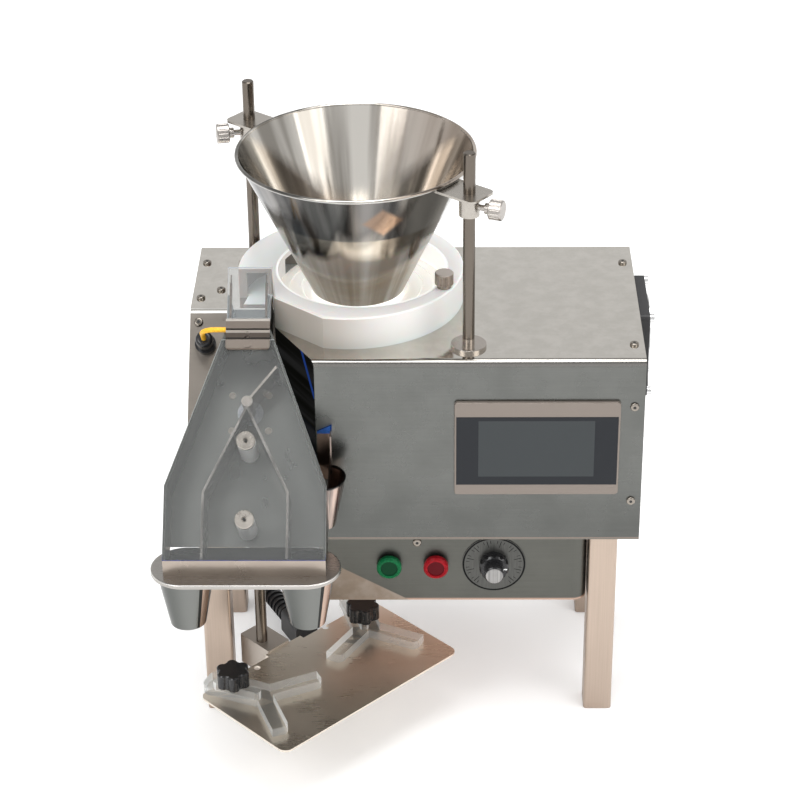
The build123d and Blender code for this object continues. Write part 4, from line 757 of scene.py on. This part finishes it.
# %% Panel
bezel = Finish("bezel_silver", (0.60, 0.565, 0.56), 0.36, metallic=0.5)
flakes = bezel.grain((2200, 2200, 2200), 1.0)
bezel.feed("Base Color", bezel.blend(flakes, (0.20, 0.17, 0.148), (0.28, 0.24, 0.21)))
bezel.relief(bezel.grain((260, 260, 260), 2.0), 0.00005, 0.3)
bezel.give("hmi_case")
screen = Finish("panel_glass", (0.02, 0.022, 0.025), 0.09, specular_ior_level=0.3)
low, high = at(101.5, 0, 259.8), at(198.8, 0, 314)
in_field = screen.x.between(low.x, high.x) * screen.z.between(low.z, high.z)
smudge = screen.grain((35, 35, 35), 3.0)
screen.feed("Base Color", screen.blend(in_field, (0.010, 0.012, 0.016), (0.038, 0.044, 0.047)))
screen.feed("Roughness", smudge * 0.1 + 0.06 + in_field * 0.12)
screen.give("hmi_glass")
print("screen field is", round(high.x - low.x, 4), "by", round(high.z - low.z, 4), "m")

# %% [markdown]
# ## Turned and anodised pieces
# The hopper's thumb screws are bright turned steel, and the ring's screw is a brownish one with a paler end face.
# The sensor's block is brownish anodised metal: strips at fixed distances down its slope are its plates, slot and
# gap, each with its own tone, with a painted highlight along its top edge and painted shade in its recess, and the
# light bars behind it are bright.

# %% Anodised pieces
screw_steel = steel("screw_steel", (0.46, 0.43, 0.40), 0.3, (500, 500, 500), 0.2, 0.15)
screw_steel.give("hopper_screw_right", "hopper_screw_left")
brown = Finish("ring_screw_brown", (0.16, 0.10, 0.08), 0.35, metallic=0.9)
END_FACE = 0.411
end_face = brown.soft(brown.z, END_FACE, END_FACE + 0.0006)
speck = brown.grain((700, 700, 700), 2.0)
brown_tone = brown.blend(speck, (0.22, 0.18, 0.15), (0.42, 0.36, 0.31))
brown.feed("Base Color", brown.blend(end_face, brown_tone, (0.58, 0.52, 0.47)))
brown.feed("Roughness", speck * 0.2 + 0.25)
brown.give("ring_thumb_screw")
sensor = Finish("sensor_anodised", (0.3, 0.25, 0.22), 0.34, metallic=0.9)
sanded = sensor.grain((700, 700, 700), 2.0)
block_tone = sensor.blend(sensor.soft(sanded, 0.3, 0.7), (0.115, 0.092, 0.075), (0.17, 0.14, 0.115))
is_bar = sensor.soft(sensor.y, y_of(78.2), y_of(78.6))
down_slope = (y_of(SLOPE_TOP_Y) + DECK * MM - sensor.y - sensor.z) * (1 / MM / sqrt(2))
# painted highlight in the first strip, on the top edge, and painted shade in the fifth, in the recess
# start and end in millimetres down the slope, and the tone
BANDS = [(24.0, 26.2, (0.42, 0.39, 0.355)), (26.2, 32.6, (0.17, 0.145, 0.125)), (32.6, 34.0, (0.02, 0.018, 0.016)),
         (34.0, 36.4, (0.30, 0.27, 0.24)), (36.4, 40.4, (0.08, 0.066, 0.056)), (40.4, 42.2, (0.03, 0.027, 0.024)),
         (42.2, 49.6, (0.21, 0.18, 0.155))]
for start, end, color in BANDS:
    block_tone = sensor.blend(down_slope.between(start, end), block_tone, color)
sensor.feed("Base Color", sensor.blend(is_bar, block_tone, (0.70, 0.68, 0.66)))
sensor.feed("Roughness", sanded * 0.18 + 0.24)
sensor.give("sensor_block")
milled = steel("milled_metal", (0.58, 0.53, 0.48), 0.5, (40, 40, 700), 0.1, 0.05, 0.1)
milled.give("clamp_block", "bearing_housing")
wire = steel("guard_wire", (0.74, 0.74, 0.74), 0.12, (400, 400, 400), 0.2)
wire.give("fan_guard")
print("turned and anodised pieces are done")

# %% [markdown]
# ## The lead itself
# The curve takes the route made above. Order and end points of the spline are set after its points are in, or the
# spline would stay a row of straight runs. A taper of rings at the gland keeps a real lead from kinking there.

lead_curve = bpy.data.curves.new("mains_lead", "CURVE")
lead_curve.dimensions = "3D"
lead_curve.bevel_depth = LEAD_DIAMETER / 2
lead_curve.bevel_resolution = 5
lead_curve.resolution_u = 8
lead_curve.use_fill_caps = True
line = lead_curve.splines.new("NURBS")
line.points.add(len(lead_route) - 1)
for point, place in zip(line.points, lead_route):
    point.co = (*place, 1)
line.order_u = 3
line.use_endpoint_u = True
lead = bpy.data.objects.new("mains_lead", lead_curve)
lead_curve.materials.append(lead_black.material)
bpy.context.scene.collection.objects.link(lead)
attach(lead, "housing")
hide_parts("mains_cord", "mains_coil")

# %% [markdown]
# Small extras share the steps that make a mesh a piece of the model. The turned ones come from a profile of radius
# and height, spun about an axis in mesh code, which gives true round shapes with closed ends and even faces.

# %% Lathe helper
SMOOTH_BELOW = radians(35)


def add_piece(name, mesh, body, finish):
    """Makes a finished mesh a piece that rides on a body."""
    piece = bpy.data.objects.new(name, mesh)
    mesh.materials.append(finish.material)
    bpy.context.scene.collection.objects.link(piece)
    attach(piece, body)


def lathe(name, profile, place, axis, body, finish, sides=48):
    """Spins a profile of (radius, height) pairs, in millimetres, about an axis through a place."""
    turn = Vector((0, 0, 1)).rotation_difference(Vector(axis)).to_matrix()
    mesh = bpy.data.meshes.new(name)
    build = bmesh.new()
    rings = []
    for radius, height in profile:
        ring = []
        for count in range(sides):
            angle = 2 * pi * count / sides
            corner = Vector((radius * cos(angle), radius * sin(angle), height)) * MM
            ring.append(build.verts.new(turn @ corner + place))
        rings.append(ring)
    for below, above in zip(rings, rings[1:]):
        for count in range(sides):
            after = (count + 1) % sides
            build.faces.new((below[count], below[after], above[after], above[count]))
    build.faces.new(rings[0][::-1])
    build.faces.new(rings[-1])
    bmesh.ops.recalc_face_normals(build, faces=build.faces)
    build.to_mesh(mesh)
    build.free()
    for face in mesh.polygons:
        face.use_smooth = len(face.vertices) == 4
    mesh.set_sharp_from_angle(angle=SMOOTH_BELOW)
    add_piece(name, mesh, body, finish)


SLEEVE_RINGS = 6
RING_PITCH = 4
RING_TAPER = 0.55
GROOVE = 0.9
sleeve_profile = [(7.6, 0)]
for ring in range(SLEEVE_RINGS):
    start = 1.5 + RING_PITCH * ring
    wide = 7.4 - RING_TAPER * ring
    narrow = wide - GROOVE
    sleeve_profile += [(wide, start), (wide, start + 2.2), (narrow, start + 2.4), (narrow, start + 3.8)]
sleeve_profile.append((4.0, 26))
lathe("lead_sleeve", sleeve_profile, at(-60, 233, 225), (0, 1, 0), "housing", lead_black)
print("sleeve rings:", SLEEVE_RINGS)

# %% [markdown]
# Each button head screw has a six-sided socket. At this size a dark six-sided face set into the head is enough; its
# dark colour is painted shade that stands for the socket's hollow.
# The list gives the places of the heads by the way that they face: up from the deck, to the front, or along the slope.

# %% Screw sockets
shade_socket = moulded("socket_shade", (0.012, 0.011, 0.010), 0.5, 0.001, 0.00002)
HEAD_HEIGHT = 2.2
UP, FRONT, OFF_SLOPE = (0, 0, 1), (0, -1, 0), (0, -0.70711, 0.70711)
SCREWS = [(-137.5, 181.4, DECK, UP), (-137.5, 114.1, DECK, UP), (-121.1, 129.1, DECK, UP),
          (231.5, 179.9, DECK, UP), (231.5, 28.6, DECK, UP), (231.5, 0, 325.7, FRONT),
          (231.5, 0, 233.5, FRONT), (-137.5, 86.4, 360, OFF_SLOPE), (49.3, 16.2, 180.8, FRONT),
          (-91.5, -29.05, 310.45, OFF_SLOPE), (-91.5, -76.28, 263.21, OFF_SLOPE)]
SOCKET = [(1.45, -0.3), (1.45, 0.04)]
for count, (x, y, z, out) in enumerate(SCREWS, 1):
    head = at(x, y, z) + Vector(out) * HEAD_HEIGHT * MM
    lathe(f"screw_socket_{count}", SOCKET, head, out, "housing", shade_socket, 6)
print("screw sockets:", len(SCREWS))

# %% [markdown]
# The knob of the speed dial carries a small spun metal cap and a white pointer line on its skirt. Both turn with the
# knob, so they ride on its body.

# %% Knob cap and pointer
KNOB_FRONT_Y = -2.9
cap_profile = [(7.4, 0), (7.4, 0.35), (6.9, 0.6), (1.2, 0.6), (0.9, 0.45)]
cap_metal = cone_steel("cap_metal", dial_axis, (0.26, 0.255, 0.25), (0.42, 0.41, 0.40), 5.0, 0.34)
cap_place = at(DIAL_X, KNOB_FRONT_Y, BUTTON_Z)
lathe("knob_cap", cap_profile, cap_place, FRONT, "speed_knob", cap_metal)
white_paint = moulded("pointer_white", (0.85, 0.85, 0.84), 0.4, 0.0012, 0.00002)


def bar(name, low, high, bevel, body, finish):
    """A small bar between two corners with rounded edges."""
    mesh = bpy.data.meshes.new(name)
    build = bmesh.new()
    bmesh.ops.create_cube(build, size=1)
    for vert in build.verts:
        vert.co = Vector([(a + b) / 2 + c * (b - a) for a, b, c in zip(low, high, vert.co)])
    bmesh.ops.bevel(build, geom=build.edges[:], offset=bevel * MM, segments=2, affect="EDGES")
    build.to_mesh(mesh)
    build.free()
    add_piece(name, mesh, body, finish)


POINTER_START, POINTER_END = 8.2, 11.4
HALF_POINTER = 0.6
bar("knob_pointer", at(DIAL_X + POINTER_START, 6.8, BUTTON_Z - HALF_POINTER),
    at(DIAL_X + POINTER_END, 7.3, BUTTON_Z + HALF_POINTER), 0.1, "speed_knob", white_paint)
print("the pointer stands at three o'clock")

# %% [markdown]
# ## Room and light
# The bench is a plain pale floor. Two large soft lamps stand left and right in front, and one hangs above; steel
# needs something to mirror, so glossy rays meet a world that is pale near the horizon and darker overhead, while
# camera rays meet plain white. The bench glows a little for the camera alone, which brings it near that white.

# %% Floor
HALF_WIDTH, NEAR, FAR = 6, -6, 8
BENCH_GAP = 0.0004              # keeps the bench just under the machine's feet
corners = [(-HALF_WIDTH, NEAR, 0), (HALF_WIDTH, NEAR, 0), (HALF_WIDTH, FAR, 0), (-HALF_WIDTH, FAR, 0)]
floor_mesh = bpy.data.meshes.new("bench_top")
floor_mesh.from_pydata(corners, [], [(0, 1, 2, 3)])
bench = bpy.data.objects.new("bench_top", floor_mesh)
bench.location.z = -BENCH_GAP
bpy.context.scene.collection.objects.link(bench)
floor_finish = Finish("bench_white", (0.93, 0.93, 0.93), 0.9, specular_ior_level=0.1)
seen_by_camera = floor_finish.node("ShaderNodeLightPath")
floor_finish.glow(floor_finish.blend(seen_by_camera, (0, 0, 0), (1, 1, 1)), 0.16)
floor_mesh.materials.append(floor_finish.material)
print("bench is", 2 * HALF_WIDTH, "by", FAR - NEAR, "m")

# %% [markdown]
# Broad lamps give soft shadows and wide highlights; the one overhead makes the level deck pale.

# %% Lamps
def lamp(name, place, aim, size, power, color=(1, 1, 1)):
    """A square soft lamp that points at a place."""
    data = bpy.data.lights.new(name, "AREA")
    data.size = size
    data.energy = power
    data.color = color
    light = bpy.data.objects.new(name, data)
    light.location = place
    light.rotation_euler = (Vector(aim) - Vector(place)).to_track_quat("-Z", "Y").to_euler()
    bpy.context.scene.collection.objects.link(light)


lamp("key", (-1.5, -1.7, 2.3), (0, 0, 0.25), 1.3, 22)
lamp("fill", (1.9, -1.5, 1.7), (0, 0, 0.2), 1.4, 14, (1.0, 0.985, 0.97))
lamp("over", (0.1, -0.1, 2.7), (0, 0, 0.3), 1.6, 40)

# %% [markdown]
# The world answers each kind of ray by itself. A ramp over the height of a mirrored ray gives the steel a dark band
# to show between pale ones, plain daylight fills the shadows, and the camera meets white.

# %% World
world = bpy.data.worlds.new("studio")
world.use_nodes = True
bpy.context.scene.world = world
sky = world.node_tree
sky.nodes.clear()
MIRRORED_LEVELS = [(0.0, 0.80), (0.5, 0.95), (0.62, 0.92), (0.72, 0.98), (0.80, 0.75), (0.88, 0.35), (1.0, 0.7)]
AMBIENT_LEVEL = 0.85
MIRRORED_STRENGTH = 0.85

direction = sky.nodes.new("ShaderNodeTexCoord")
apart = sky.nodes.new("ShaderNodeSeparateXYZ")
sky.links.new(direction.outputs["Generated"], apart.inputs[0])
rise = sky.nodes.new("ShaderNodeMapRange")
rise.inputs["From Min"].default_value = -1
sky.links.new(apart.outputs["Z"], rise.inputs["Value"])
ramp = sky.nodes.new("ShaderNodeValToRGB")
sky.links.new(rise.outputs[0], ramp.inputs[0])
while len(ramp.color_ramp.elements) < len(MIRRORED_LEVELS):
    ramp.color_ramp.elements.new(0.5)
for element, (place, level) in zip(ramp.color_ramp.elements, MIRRORED_LEVELS):
    element.position = place
    element.color = (level, level, level, 1)


def backdrop(strength):
    """One even background."""
    made = sky.nodes.new("ShaderNodeBackground")
    made.inputs["Color"].default_value = (1, 1, 1, 1)
    made.inputs["Strength"].default_value = strength
    return made


def choose(path_output, otherwise, chosen):
    """Shows one background to the rays of one kind and another to the rest."""
    made = sky.nodes.new("ShaderNodeMixShader")
    sky.links.new(path.outputs[path_output], made.inputs[0])
    sky.links.new(otherwise.outputs[0], made.inputs[1])
    sky.links.new(chosen.outputs[0], made.inputs[2])
    return made


path = sky.nodes.new("ShaderNodeLightPath")
mirrored = backdrop(MIRRORED_STRENGTH)
sky.links.new(ramp.outputs["Color"], mirrored.inputs["Color"])
lighting = choose("Is Glossy Ray", backdrop(AMBIENT_LEVEL), mirrored)
output = sky.nodes.new("ShaderNodeOutputWorld")
sky.links.new(choose("Is Camera Ray", lighting, backdrop(1.0)).outputs[0], output.inputs[0])
bpy.context.scene.view_settings.view_transform = "Standard"
print("world has", len(MIRRORED_LEVELS), "levels from straight down to straight up")

# %% Finish
bpy.context.view_layer.update()
